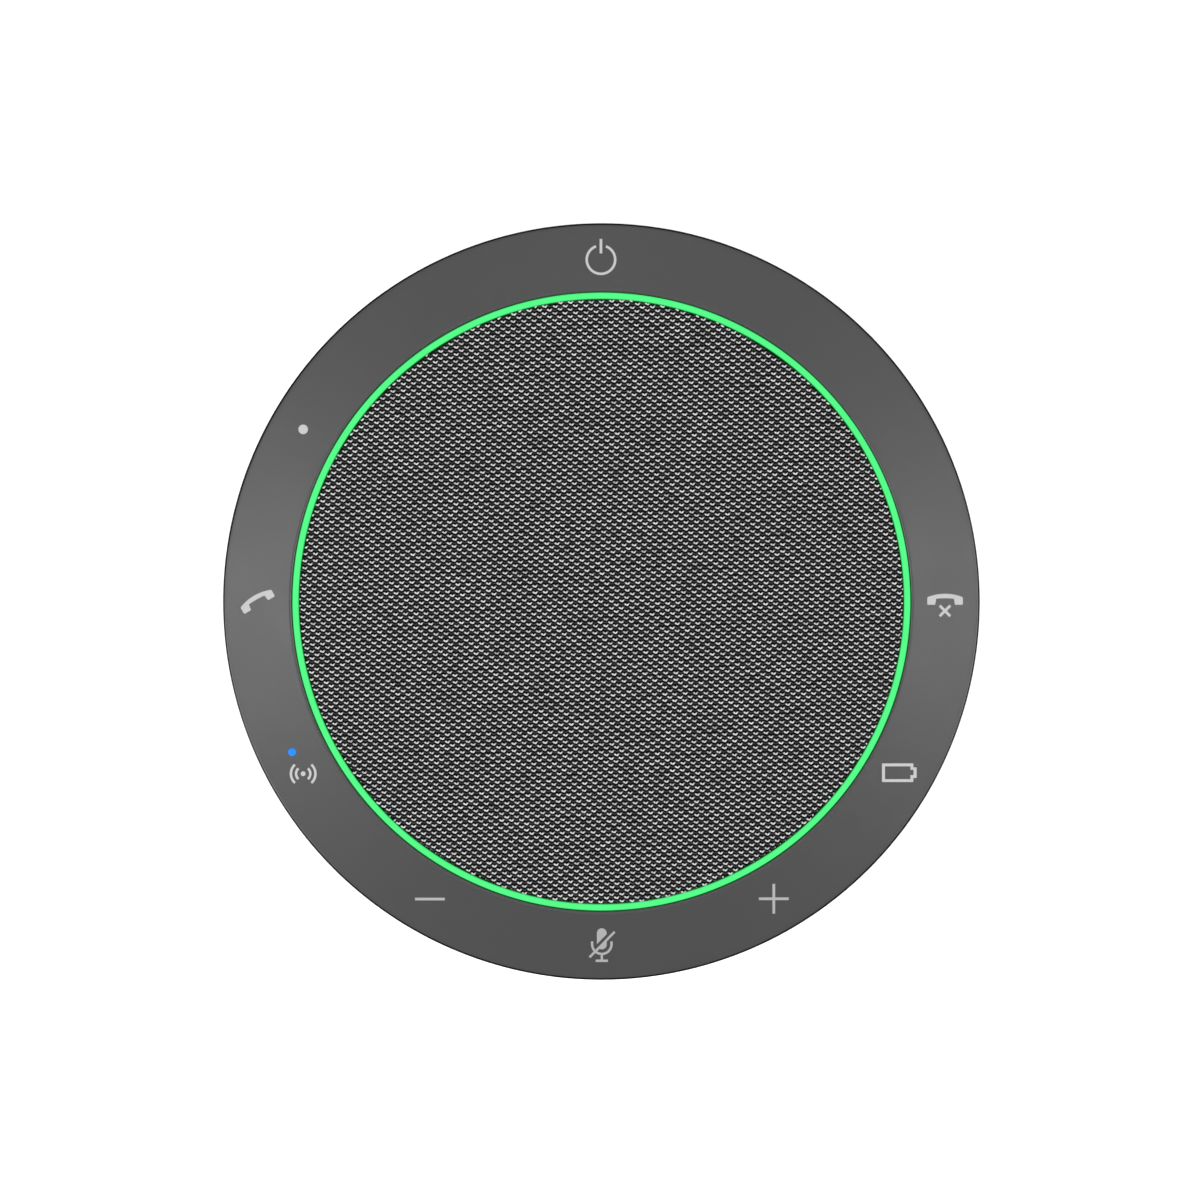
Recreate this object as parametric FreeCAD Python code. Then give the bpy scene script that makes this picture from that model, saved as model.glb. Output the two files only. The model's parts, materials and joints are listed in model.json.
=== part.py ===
import FreeCAD, Part
import math
import os

# A round table-top conference speakerphone, built as separate pieces, one STEP file per node.
# Millimetres. The origin is the centre of the face the phone stands on. +Z is up, through the grille.
# +Y points to the power key, -Y to the mute key, and angles are measured from +X towards +Y.

V = FreeCAD.Vector
UP = V(0, 0, 1)
FULL_TURN = 360.0

# ---- Driving dimensions ----------------------------------------------------------------------
BODY_R = 66.25  # outside radius of the soft ring
BODY_H = 33.0  # table to the crown of the grille
FIT = 0.05  # gap between two pieces that are clipped or bonded together

# Soft ring, bezel and keys
RING_INNER_R = 54.25
RING_TOP_INNER_Z = 31.9
RING_TOP_OUTER_Z = 31.25
RING_EDGE_R = 0.5  # rounded outer rim
SKIN_T = 0.6
BEZEL_T = 1.4
BEZEL_WALL_T = 1.0
INSIDE_CORNER_R = 0.4  # least rounding inside the skin's and the bezel's rims
PART_LINE_Z = 23.8  # lowest edge of the soft ring
KEY_CENTRE_R = 60.25
KEY_INNER_R, KEY_OUTER_R = 56.9, 63.6
KEY_HALF_ANGLE = 6.2
KEY_CORNER_R = 1.8
KEY_GAP = 0.25
KEY_FLANGE = 0.75  # how far the key's retaining flange reaches past its cap
KEY_FLANGE_TOP_Z, KEY_FLANGE_BOTTOM_Z = 29.05, 28.2
KEY_PUSHER_R = 1.3
KEY_ANGLES = {
    "key_hang_up": 0,
    "key_power": 90,
    "key_shortcut": 150,
    "key_answer": 180,
    "key_pairing": 210,
    "key_volume_down": 240,
    "key_mute": 270,
    "key_volume_up": 300,
    "key_battery": 330,
}
STATUS_ANGLE, STATUS_R, STATUS_HOLE_R = 206.0, 60.25, 0.8

# Light ring and grille
LIGHT_INNER_R, LIGHT_OUTER_R = 53.1, 54.15
LIGHT_TOP_Z = 31.85
FABRIC_R = 52.9
FABRIC_EDGE_Z = 31.75
FABRIC_T = 0.7
GRILLE_T = 1.2
GRILLE_HOLE_R = 1.7
GRILLE_HOLE_PITCH = 4.8
GRILLE_HOLE_ROWS = 7

# Side housing, deck and boards
SIDE_BOTTOM_Z = 15.4
SIDE_WALL_T = 1.7
DECK_Z, DECK_T = 21.5, 2.0
DECK_TOP_Z = DECK_Z + DECK_T
DECK_HOLE_R = 29.5
RING_PCB_Z, PCB_T = 24.0, 1.2
RING_PCB_TOP_Z = RING_PCB_Z + PCB_T
SWITCH_H = 1.6
SWITCH_TOP_Z = RING_PCB_TOP_Z + SWITCH_H
DOME_TOP_Z = RING_PCB_TOP_Z + 0.9
MAIN_PCB_Z = 17.8
RIBBON_ANGLE = 240.0
SPEAKER_SOCKET_ANGLE, BATTERY_SOCKET_ANGLE, CABLE_SOCKET_ANGLE = 231.0, 300.0, 312.0

# Base
BASE_Z = 0.9
FLOOR_T = 2.2
FLOOR_TOP_Z = BASE_Z + FLOOR_T
FLANGE_R, FLANGE_TOP_Z = 62.5, 4.4
CHANNEL_R = 57.5
BASE_WALL_T = 2.2
BASE_TOP_Z = 15.0
FOOT_INNER_R, FOOT_OUTER_R, FOOT_GROOVE = 46.0, 56.0, 1.0
LABEL_R, LABEL_DEPTH = 39.7, 0.5

# Cable and plug
CABLE_R = 1.75
CABLE_PATH_R = 59.6
CABLE_LOW_Z, CABLE_HIGH_Z = 6.55, 11.3
CABLE_INSIDE_R = 48.5
CABLE_INSIDE_SWEEP = 38.0
CABLE_EXIT_ANGLE = 76.0
CABLE_CLIMB = (306.0, 346.0)
PLUG_ANGLE = 0.0
PLUG_PATH_R = 58.5
PLUG_TAIL_Y, PLUG_TAIL_R = -17.2, 1.9  # the plug swings about the rounded end of its tail
CABLE_SWEEP = 625.5
CABLE_END_R = 60.95
CABLE_END_SWEEP = 26.0
GROMMET_R = 2.1
CLAMP_Z, CLAMP_T = CABLE_LOW_Z + CABLE_R + 0.1, 1.4
PLUG_W, PLUG_T = 10.6, 5.4
PLUG_BODY_Y = (-10.0, 10.5)
PLUG_SHELL_W, PLUG_SHELL_T, PLUG_SHELL_L = 8.3, 2.5, 6.6

# Loudspeaker
SPEAKER_FLANGE_R = 33.0
SPEAKER_EAR_R, SPEAKER_EAR_CENTRE_R = 2.6, 35.2
SPEAKER_EAR_ANGLES = (45, 135, 225, 315)
SPEAKER_GASKET_T = 0.4
SPEAKER_FLANGE_Z = DECK_TOP_Z + SPEAKER_GASKET_T
SPEAKER_FLANGE_T = 1.2
SPEAKER_FRONT_Z = SPEAKER_FLANGE_Z + SPEAKER_FLANGE_T
CONE_NECK_Z, CONE_EDGE_Z = 18.7, SPEAKER_FRONT_Z - 0.5
CONE_OUTER_R, CONE_T = 25.5, 0.5
BASKET_T, BASKET_HOLE_R = 0.9, 15.7  # the spider moves inside the hole
COIL_R = 7.75
CONE_NECK_R = COIL_R + 0.25
MAGNET_Z = (10.9, 14.1)
TOP_PLATE_Z = (14.1, 16.1)
YOKE_Z = 9.1

# Battery
BATTERY_SIZE = (58.0, 40.0, 5.0)
BATTERY_Z = 3.4

# Fasteners
PILLAR_R, PILLAR_CENTRE_R = 3.2, 51.0
PILLAR_ANGLES = (30, 90, 150, 210, 270, 330)
BASE_SCREW_SEAT_Z = 3.9
DECK_SCREW_ANGLES = (0, 60, 120, 180, 240, 300)
DECK_SCREW_CENTRE_R, DECK_SCREW_SINK = 60.0, 1.45
BEZEL_BOSS_ANGLES = (15, 75, 105, 165, 195, 255, 285, 345)
BEZEL_BOSS_CENTRE_R, BEZEL_BOSS_R = 59.5, 2.0
RING_PCB_SCREW_ANGLES = (20, 80, 140, 200, 260, 320)
RING_PCB_SCREW_CENTRE_R = 56.4
MIC_ANGLES = (45, 135, 225, 315)
MIC_CENTRE_R, MIC_PORT_R, MIC_PORT_Z = 60.8, 0.6, 27.4
MAIN_PCB_SCREWS = ((40.6, 220), (40.6, 255), (40.6, 285), (40.6, 322))
LED_COUNT = 24


# ---- Shape helpers ---------------------------------------------------------------------------
def outline(points, place):
    """A closed face. A point is (a, b) or (a, b, corner radius), and place(a, b) puts it in space."""
    count = len(points)
    starts, ends, arcs = [], [], []
    for i, point in enumerate(points):
        here = V(point[0], point[1], 0)
        radius = point[2] if len(point) > 2 else 0
        if not radius:
            starts.append(here)
            ends.append(here)
            arcs.append(None)
            continue
        before, after = points[i - 1], points[(i + 1) % count]
        back = (V(before[0], before[1], 0) - here).normalize()
        ahead = (V(after[0], after[1], 0) - here).normalize()
        half = back.getAngle(ahead) / 2
        reach = radius / math.tan(half)
        middle = (back + ahead).normalize()
        starts.append(here + back * reach)
        ends.append(here + ahead * reach)
        arcs.append(here + middle * (radius / math.sin(half) - radius))
    edges = []
    for i in range(count):
        if arcs[i] is not None:
            corner = [place(p.x, p.y) for p in (starts[i], arcs[i], ends[i])]
            edges.append(Part.Arc(*corner).toShape())
        a, b = ends[i], starts[(i + 1) % count]
        if (b - a).Length > 1e-6:
            edges.append(Part.makeLine(place(a.x, a.y), place(b.x, b.y)))
    return Part.Face(Part.Wire(Part.__sortEdges__(edges)))


def revolve(points):
    """A solid turned about the vertical axis from points given as (radius, height[, corner])."""
    face = outline(points, lambda r, z: V(r, 0, z))
    return face.revolve(V(0, 0, 0), UP, FULL_TURN)


def prism(points, bottom, top):
    """A plan outline given as (x, y[, corner]), raised from bottom to top."""
    return outline(points, lambda x, y: V(x, y, bottom)).extrude(V(0, 0, top - bottom))


def slab(length, width, bottom, top, corner):
    """A block centred on the vertical axis, with rounded upright edges."""
    a, b = length / 2, width / 2
    return prism([(-a, -b, corner), (a, -b, corner), (a, b, corner), (-a, b, corner)], bottom, top)


def rod(radius, bottom, top, x=0.0, y=0.0):
    return Part.makeCylinder(radius, top - bottom, V(x, y, bottom))


def tube(inner, outer, bottom, top):
    return rod(outer, bottom, top).cut(rod(inner, bottom - 1, top + 1))


def polar(radius, angle):
    return radius * math.cos(math.radians(angle)), radius * math.sin(math.radians(angle))


def rod_at(radius, bottom, top, centre_r, angle):
    return rod(radius, bottom, top, *polar(centre_r, angle))


def turned(shape, angle):
    """A copy turned about the vertical axis."""
    copy = shape.copy()
    copy.rotate(V(0, 0, 0), UP, angle)
    return copy


def around(shape, angles):
    return [turned(shape, angle) for angle in angles]


def group(shapes):
    return Part.makeCompound([solid for shape in shapes for solid in shape.Solids])


def sector(inner, outer, half_angle, bottom, top, corner=0.0):
    """A piece of a ring centred on +X, with its upright corners rounded."""
    wedge = Part.makeCylinder(outer, top - bottom, V(0, 0, bottom), UP, 2 * half_angle)
    wedge.rotate(V(0, 0, 0), UP, -half_angle)
    piece = wedge.cut(rod(inner, bottom - 1, top + 1))
    if not corner:
        return piece
    upright = [
        edge
        for edge in piece.Edges
        if abs(edge.Vertexes[0].Point.z - edge.Vertexes[-1].Point.z) > 0.5 * (top - bottom)
    ]
    return piece.makeFillet(corner, upright)


def rim_edges(shape, along):
    """The rims of a bar that runs along a direction: edges whose ends are level along it."""
    return [e for e in shape.Edges if abs((e.Vertexes[0].Point - e.Vertexes[-1].Point).dot(along)) < 0.01]


def smooth_edge(points, **ends):
    """A curve through the points, with its end directions given or left free."""
    curve = Part.BSplineCurve()
    curve.interpolate(Points=points, **ends)
    return curve.toShape()


def straight_run(start, end, radius):
    """A straight round bar between two points."""
    along = end - start
    return Part.makeCylinder(radius, along.Length, start, along)


def pipe(edges, radius, bore=0.0):
    """A round bar, or a tube with a bore, along edges that run on smoothly from one to the next."""
    first = edges[0]
    start = first.valueAt(first.FirstParameter)
    along = first.tangentAt(first.FirstParameter)
    face = Part.Face(Part.Wire(Part.makeCircle(radius, start, along)))
    if bore:
        face = face.cut(Part.Face(Part.Wire(Part.makeCircle(bore, start, along))))
    return Part.Wire(edges).makePipe(face)


def screw(head_r, head_h, shank_r, length):
    """A pan-head screw standing on its tip at the origin, with a cross recess in its head."""
    top = length + head_h
    head = revolve([(0, length), (head_r, length), (head_r, top, head_h * 0.6), (0, top)])
    point = 0.6 * shank_r
    shank = revolve([(0, 0), (shank_r - point, 0), (shank_r, point), (shank_r, length), (0, length)])
    body = head.fuse(shank)
    slot_l, slot_w, depth = 1.2 * head_r, 0.28 * head_r, 0.55 * head_h
    for a, b in ((slot_l, slot_w), (slot_w, slot_l)):
        corner = V(-a / 2, -b / 2, top - depth)
        body = body.cut(Part.makeBox(a, b, head_h, corner))
    return body.removeSplitter()


def smoothstep(t):
    t = min(1.0, max(0.0, t))
    return t * t * (3 - 2 * t)


# ---- Top ring --------------------------------------------------------------------------------
def ring_top_z(radius, below=0.0):
    """Height of the gently sloping ring face, or of a surface that far below it."""
    slope = (RING_TOP_OUTER_Z - RING_TOP_INNER_Z) / (BODY_R - RING_INNER_R)
    return RING_TOP_INNER_Z + slope * (radius - RING_INNER_R) - below


def ring_shell(top_below, thickness, outer_r, wall, edge_r):
    """A ring with an L-shaped section: a sloping top and an outer wall down to the parting line."""
    inner_wall_r = outer_r - wall
    under = top_below + thickness
    outside_corner = max(edge_r, INSIDE_CORNER_R)
    inside_corner = max(edge_r - thickness, INSIDE_CORNER_R)
    return revolve(
        [
            (RING_INNER_R, ring_top_z(RING_INNER_R, top_below)),
            (outer_r, ring_top_z(outer_r, top_below), outside_corner),
            (outer_r, PART_LINE_Z),
            (inner_wall_r, PART_LINE_Z),
            (inner_wall_r, ring_top_z(inner_wall_r, under), inside_corner),
            (RING_INNER_R, ring_top_z(RING_INNER_R, under)),
        ]
    )


def key_prism(grow, bottom, top):
    """The key's plan shape, grown outwards by a distance, as an upright prism on +X."""
    half_angle = KEY_HALF_ANGLE + math.degrees(grow / KEY_CENTRE_R)
    corner = KEY_CORNER_R + grow
    return sector(KEY_INNER_R - grow, KEY_OUTER_R + grow, half_angle, bottom, top, corner)


def mic_port(radius, inner_r):
    """A sideways sound port on +X."""
    length = BODY_R + 1 - inner_r
    return Part.makeCylinder(radius, length, V(inner_r, 0, MIC_PORT_Z), V(1, 0, 0))


def ring_skin():
    """Soft-touch elastomer over the bezel: one unbroken surface that flexes over each key."""
    skin = ring_shell(0.0, SKIN_T, BODY_R, SKIN_T, RING_EDGE_R)
    status_hole = rod_at(STATUS_HOLE_R, 29, 34, STATUS_R, STATUS_ANGLE)
    ports = around(mic_port(MIC_PORT_R, 64.8), MIC_ANGLES)
    return skin.cut(group([status_hole] + ports))


def raw_bezel():
    return ring_shell(SKIN_T, BEZEL_T, BODY_R - SKIN_T, BEZEL_WALL_T, RING_EDGE_R - SKIN_T)


def top_bezel():
    """Rigid ring under the skin, with a window for each key and screw bosses between them."""
    bezel = raw_bezel()
    windows = around(key_prism(KEY_GAP, 27, 33), KEY_ANGLES.values())
    ports = around(mic_port(MIC_PORT_R, 63.5), MIC_ANGLES)
    boss_top = ring_top_z(BEZEL_BOSS_CENTRE_R, SKIN_T + BEZEL_T / 2)
    boss = rod_at(BEZEL_BOSS_R, DECK_TOP_Z, boss_top, BEZEL_BOSS_CENTRE_R, 0)
    pilot = rod_at(0.8, DECK_TOP_Z - 1, DECK_TOP_Z + 5, BEZEL_BOSS_CENTRE_R, 0)
    bezel = bezel.fuse(around(boss, BEZEL_BOSS_ANGLES))
    return bezel.cut(group(windows + ports + around(pilot, BEZEL_BOSS_ANGLES)))


def key(name):
    """A key cap cut from the bezel's own face, with its retaining flange and switch pusher."""
    cap = raw_bezel().common(key_prism(0, 27, 33))
    flange = key_prism(KEY_FLANGE, KEY_FLANGE_BOTTOM_Z, KEY_FLANGE_TOP_Z)
    stem = key_prism(-0.6, KEY_FLANGE_TOP_Z - 0.2, ring_top_z(KEY_CENTRE_R, SKIN_T + BEZEL_T / 2))
    pusher = rod_at(KEY_PUSHER_R, DOME_TOP_Z, KEY_FLANGE_BOTTOM_Z + 0.1, KEY_CENTRE_R, 0)
    shape = turned(cap.fuse([flange, stem, pusher]), KEY_ANGLES[name])
    if name == "key_pairing":
        shape = shape.cut(rod_at(STATUS_HOLE_R, 20, 34, STATUS_R, STATUS_ANGLE))
    return shape.removeSplitter()


def pairing_light_pipe():
    """Clear pin that carries the pairing light up through its key and the skin."""
    top = ring_top_z(STATUS_R, 0.02)
    pin = [(0, 27.6), (STATUS_HOLE_R - 0.03, 27.6), (STATUS_HOLE_R - 0.03, top, 0.12), (0, top)]
    shape = revolve(pin)
    shape.translate(V(*polar(STATUS_R, STATUS_ANGLE), 0))
    return shape


def light_ring():
    """Translucent light guide with a flange that the bezel holds down."""
    flange_bottom, flange_top, flange_r = 29.0, 29.78, 55.6
    return revolve(
        [
            (LIGHT_INNER_R, 26.6),
            (LIGHT_OUTER_R, 26.6),
            (LIGHT_OUTER_R, flange_bottom),
            (flange_r, flange_bottom),
            (flange_r, flange_top),
            (LIGHT_OUTER_R, flange_top),
            (LIGHT_OUTER_R, LIGHT_TOP_Z, 0.15),
            (LIGHT_INNER_R, LIGHT_TOP_Z, 0.15),
        ]
    )


# ---- Grille ----------------------------------------------------------------------------------
def dome_cup(outer_r, crown_z, thickness, skirt_bottom):
    """A shallow dome with a skirt, whose crown rises as the grille's face does."""
    rise = BODY_H - FABRIC_EDGE_Z
    sphere_r = (FABRIC_R**2 + rise**2) / (2 * rise)
    ball = Part.makeSphere(sphere_r, V(0, 0, crown_z - sphere_r))
    hollow = Part.makeSphere(sphere_r, V(0, 0, crown_z - thickness - sphere_r))
    block = rod(outer_r, skirt_bottom, crown_z + 1).common(ball)
    level = [edge.BoundBox for edge in block.Edges]
    rim = [e for e, box in zip(block.Edges, level) if box.ZLength < 0.01 and box.ZMin > skirt_bottom + 1]
    block = block.makeFillet(0.5, rim)
    core = rod(outer_r - thickness, skirt_bottom - 1, crown_z + 1).common(hollow)
    return block.cut(core)


def grille_fabric():
    """Knitted cover stretched over the grille frame, its edge turned down inside the light ring."""
    return dome_cup(FABRIC_R, BODY_H, FABRIC_T, 29.0)


def grille_frame():
    """Rigid perforated dome that carries the fabric and stands on the deck."""
    frame = dome_cup(FABRIC_R - FABRIC_T - FIT, BODY_H - FABRIC_T - FIT, GRILLE_T, DECK_TOP_Z + FIT)
    holes = [rod(GRILLE_HOLE_R, 26, 34)]
    for row in range(1, GRILLE_HOLE_ROWS + 1):
        count = 6 * row
        hole = rod(GRILLE_HOLE_R, 26, 34, row * GRILLE_HOLE_PITCH, 0)
        holes += around(hole, [FULL_TURN * k / count for k in range(count)])
    return frame.cut(group(holes))


# ---- Housing ---------------------------------------------------------------------------------
def side_housing():
    """Outer band under the soft ring, which also roofs the cable channel."""
    inner_r = BODY_R - 0.75 - SIDE_WALL_T
    lip_r = CHANNEL_R - BASE_WALL_T + 1.0
    tongue_in, tongue_out = inner_r, inner_r + 0.7
    band = revolve(
        [
            (lip_r, SIDE_BOTTOM_Z),
            (BODY_R - 0.9, SIDE_BOTTOM_Z, 1.6),
            (BODY_R - 0.35, PART_LINE_Z - 0.25, 0.3),
            (tongue_out, PART_LINE_Z - 0.25),
            (tongue_out, PART_LINE_Z + 1.0),
            (tongue_in, PART_LINE_Z + 1.0),
            (tongue_in, SIDE_BOTTOM_Z + 2.0, 0.8),
            (lip_r, SIDE_BOTTOM_Z + 2.0),
        ]
    )
    boss = rod_at(2.2, SIDE_BOTTOM_Z + 1, DECK_Z, DECK_SCREW_CENTRE_R, 0)
    pilot = rod_at(0.8, SIDE_BOTTOM_Z + 1.2, DECK_Z + 1, DECK_SCREW_CENTRE_R, 0)
    return band.fuse(around(boss, DECK_SCREW_ANGLES)).cut(group(around(pilot, DECK_SCREW_ANGLES)))


def speaker_deck():
    """Inner chassis plate: carries the loudspeaker and both boards, and stands on six pillars."""
    deck = tube(DECK_HOLE_R, BODY_R - 2.65, DECK_Z, DECK_TOP_Z)
    pillar = rod_at(PILLAR_R, 6.1, DECK_Z + 1, PILLAR_CENTRE_R, 0)
    ear_boss = rod_at(2.6, DECK_Z - 2.3, DECK_TOP_Z - 0.5, SPEAKER_EAR_CENTRE_R, 0)
    pcb_pads = [
        rod_at(2.2, DECK_TOP_Z - 0.5, RING_PCB_Z, RING_PCB_SCREW_CENTRE_R, a) for a in RING_PCB_SCREW_ANGLES
    ]
    hangers = [rod_at(2.0, MAIN_PCB_Z + PCB_T, DECK_Z + 0.5, r, a) for r, a in MAIN_PCB_SCREWS]
    bosses = around(pillar, PILLAR_ANGLES) + around(ear_boss, SPEAKER_EAR_ANGLES) + pcb_pads + hangers
    deck = deck.fuse(bosses)
    cuts = around(rod_at(1.1, 6.0, 16.0, PILLAR_CENTRE_R, 0), PILLAR_ANGLES)
    cuts += around(rod_at(0.8, DECK_Z - 1.4, 26, SPEAKER_EAR_CENTRE_R, 0), SPEAKER_EAR_ANGLES)
    cuts += [rod_at(0.7, DECK_Z + 0.2, 26, RING_PCB_SCREW_CENTRE_R, a) for a in RING_PCB_SCREW_ANGLES]
    cuts += [rod_at(0.7, MAIN_PCB_Z, DECK_Z + 0.6, r, a) for r, a in MAIN_PCB_SCREWS]
    cuts += around(rod_at(1.15, DECK_Z - 1, 26, DECK_SCREW_CENTRE_R, 0), DECK_SCREW_ANGLES)
    cuts += around(rod_at(2.3, DECK_TOP_Z - DECK_SCREW_SINK, 26, DECK_SCREW_CENTRE_R, 0), DECK_SCREW_ANGLES)
    cuts += around(rod_at(1.0, DECK_Z - 1, 26, BEZEL_BOSS_CENTRE_R, 0), BEZEL_BOSS_ANGLES)
    cuts.append(ribbon_slot())
    return deck.cut(group(cuts))


def ribbon_slot():
    slot = Part.makeBox(1.8, 9.6, 10, V(54.6, -4.8, DECK_Z - 4))
    return turned(slot, RIBBON_ANGLE)


def base_housing():
    """Lower shell: floor, cable channel, lower flange, battery cradle and plug dock."""
    inner_r = CHANNEL_R - BASE_WALL_T
    shell = revolve(
        [
            (0, BASE_Z),
            (FLANGE_R, BASE_Z, 1.8),
            (FLANGE_R, FLANGE_TOP_Z, 1.0),
            (CHANNEL_R, FLANGE_TOP_Z, 0.7),
            (CHANNEL_R, BASE_TOP_Z),
            (inner_r + 0.8, BASE_TOP_Z),
            (inner_r + 0.8, BASE_TOP_Z + 1.4),
            (inner_r, BASE_TOP_Z + 1.4),
            (inner_r, FLOOR_TOP_Z, 1.5),
            (0, FLOOR_TOP_Z),
        ]
    )
    bosses = around(rod_at(4.2, FLOOR_TOP_Z - 1, 6.0, PILLAR_CENTRE_R, 0), PILLAR_ANGLES)
    shell = shell.fuse(bosses + [dock_block(), clamp_posts()] + battery_ribs())
    groove = tube(FOOT_INNER_R, FOOT_OUTER_R, BASE_Z - 1, BASE_Z + FOOT_GROOVE)
    label_recess = rod(LABEL_R + 0.2, BASE_Z - 1, BASE_Z + LABEL_DEPTH)
    heads = around(rod_at(2.7, BASE_Z, BASE_SCREW_SEAT_Z, PILLAR_CENTRE_R, 0), PILLAR_ANGLES)
    shanks = around(rod_at(1.5, BASE_Z, 7.0, PILLAR_CENTRE_R, 0), PILLAR_ANGLES)
    shell = shell.cut(group([groove, label_recess] + heads + shanks))
    shell = shell.cut(plug_dock())
    return shell.cut(cable_tunnel(GROMMET_R + 0.03))


def battery_ribs():
    """Four corner brackets that locate the battery on the floor."""
    length, width, _ = BATTERY_SIZE
    gap, rib_t, reach, height = 0.3, 1.2, 8.0, 4.0
    ribs = []
    for sx in (-1, 1):
        for sy in (-1, 1):
            x, y = sx * (length / 2 + gap + rib_t / 2), sy * (width / 2 + gap + rib_t / 2)
            along_x = slab(reach, rib_t, FLOOR_TOP_Z - 0.5, FLOOR_TOP_Z + height, 0.4)
            along_x.translate(V(x - sx * (reach - rib_t) / 2, y, 0))
            along_y = slab(rib_t, reach, FLOOR_TOP_Z - 0.5, FLOOR_TOP_Z + height, 0.4)
            along_y.translate(V(x, y - sy * (reach - rib_t) / 2, 0))
            ribs += [along_x, along_y]
    return ribs


def dock_block():
    """Solid block inside the wall that backs the plug dock."""
    half = -PLUG_TAIL_Y + 2.3
    block = Part.makeBox(6.0, 2 * half, BASE_TOP_Z - FLOOR_TOP_Z + 0.5, V(51.4, -half, FLOOR_TOP_Z - 0.5))
    return turned(block.common(rod(CHANNEL_R - 0.5, 0, 20)), PLUG_ANGLE)


def plug_dock():
    """Pocket in the channel wall that the stowed plug lies in, open outwards so the plug can swing."""
    clear = 0.45
    inner_x = PLUG_PATH_R - PLUG_W / 2 - clear
    bottom = CABLE_HIGH_Z - PLUG_T / 2 - 0.3
    half = -PLUG_TAIL_Y + 0.8
    pocket = Part.makeBox(12, 2 * half, BASE_TOP_Z + 2 - bottom, V(inner_x, -half, bottom))
    keep_tongue = tube(CHANNEL_R - BASE_WALL_T - 0.01, CHANNEL_R - BASE_WALL_T + 0.81, BASE_TOP_Z, 20)
    return turned(pocket.cut(keep_tongue), PLUG_ANGLE)


def clamp_posts():
    """Two posts for the cable clamp's screws."""
    posts = [rod(1.9, FLOOR_TOP_Z - 0.5, CLAMP_Z, *clamp_point(side)) for side in (-1, 1)]
    pilots = [rod(0.75, CLAMP_Z - 2.5, CLAMP_Z + 1, *clamp_point(side)) for side in (-1, 1)]
    return posts[0].fuse(posts[1]).cut(group(pilots))


def housing_seal():
    """Flat gasket between the base wall and the side housing."""
    return tube(CHANNEL_R - BASE_WALL_T + 1.0, CHANNEL_R - 0.15, BASE_TOP_Z, SIDE_BOTTOM_Z)


def foot_ring():
    """Rubber ring that the phone stands on."""
    top = BASE_Z + FOOT_GROOVE
    inner, outer = FOOT_INNER_R + FIT, FOOT_OUTER_R - FIT
    return revolve([(inner, 0, 0.5), (outer, 0, 0.5), (outer, top), (inner, top)])


def label_plate():
    """Thin blank plate in a recess of the floor."""
    return rod(LABEL_R, BASE_Z + 0.1, BASE_Z + LABEL_DEPTH)


# ---- Cable and plug --------------------------------------------------------------------------
def cable_point(angle):
    """Centre of the cable, at an angle past the place where it leaves the wall."""
    inside = smoothstep(1 + angle / CABLE_INSIDE_SWEEP)
    radius = CABLE_INSIDE_R + (CABLE_PATH_R - CABLE_INSIDE_R) * inside
    radius += (CABLE_END_R - CABLE_PATH_R) * smoothstep((angle - CABLE_SWEEP) / CABLE_END_SWEEP + 1)
    climb = smoothstep((angle - CABLE_CLIMB[0]) / (CABLE_CLIMB[1] - CABLE_CLIMB[0]))
    height = CABLE_LOW_Z + (CABLE_HIGH_Z - CABLE_LOW_Z) * climb
    return V(*polar(radius, CABLE_EXIT_ANGLE + angle), height)


def cable_direction(angle):
    """Which way the cable runs at an angle."""
    return (cable_point(angle + 0.1) - cable_point(angle - 0.1)).normalize()


def cable_bend(first, last, step=5):
    """A stretch of the cable's centre line whose radius or height changes."""
    count = round((last - first) / step)
    points = [cable_point(first + (last - first) * k / count) for k in range(count + 1)]
    return smooth_edge(points, InitialTangent=cable_direction(first), FinalTangent=cable_direction(last))


def cable_turn(first, last):
    """A stretch of the cable's centre line that is an arc at one height."""
    return Part.Arc(cable_point(first), cable_point((first + last) / 2), cable_point(last)).toShape()


def usb_cable():
    """Captive cable, wound not quite twice round the channel."""
    climb_start, climb_end = CABLE_CLIMB
    end_start = CABLE_SWEEP - CABLE_END_SWEEP
    centre_line = [
        cable_bend(-CABLE_INSIDE_SWEEP, 0),
        cable_turn(0, climb_start),
        cable_bend(climb_start, climb_end),
        cable_turn(climb_end, end_start),
        cable_bend(end_start, CABLE_SWEEP),
    ]
    return pipe(centre_line, CABLE_R)


def cable_tunnel(radius):
    return pipe([cable_bend(-CABLE_INSIDE_SWEEP, 0)], radius)


def cable_grommet():
    """Rubber sleeve that seals the cable where it passes through the wall."""
    return pipe([cable_bend(-26, -4)], GROMMET_R, CABLE_R + 0.1)


def clamp_point(side):
    """Place of a clamp screw: one on each side of the cable's inner end."""
    end = cable_point(-CABLE_INSIDE_SWEEP)
    out = V(end.x, end.y, 0).normalize()
    spot = end + out * (4.6 * side)
    return spot.x, spot.y


def cable_clamp():
    """Plastic bar that screws down over the inner end of the cable."""
    bar = slab(13.0, 4.0, CLAMP_Z, CLAMP_Z + CLAMP_T, 1.6)
    end = cable_point(-CABLE_INSIDE_SWEEP)
    bar.translate(V(CABLE_INSIDE_R, 0, 0))
    bar = turned(bar, math.degrees(math.atan2(end.y, end.x)))
    return bar.cut(group([rod(1.0, CLAMP_Z - 1, CLAMP_Z + 3, *clamp_point(side)) for side in (-1, 1)]))


def plug_frame(shape):
    """Moves a plug piece drawn along +Y at the origin to its place in the dock."""
    shape.translate(V(PLUG_PATH_R, 0, CABLE_HIGH_Z))
    return turned(shape, PLUG_ANGLE)


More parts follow.
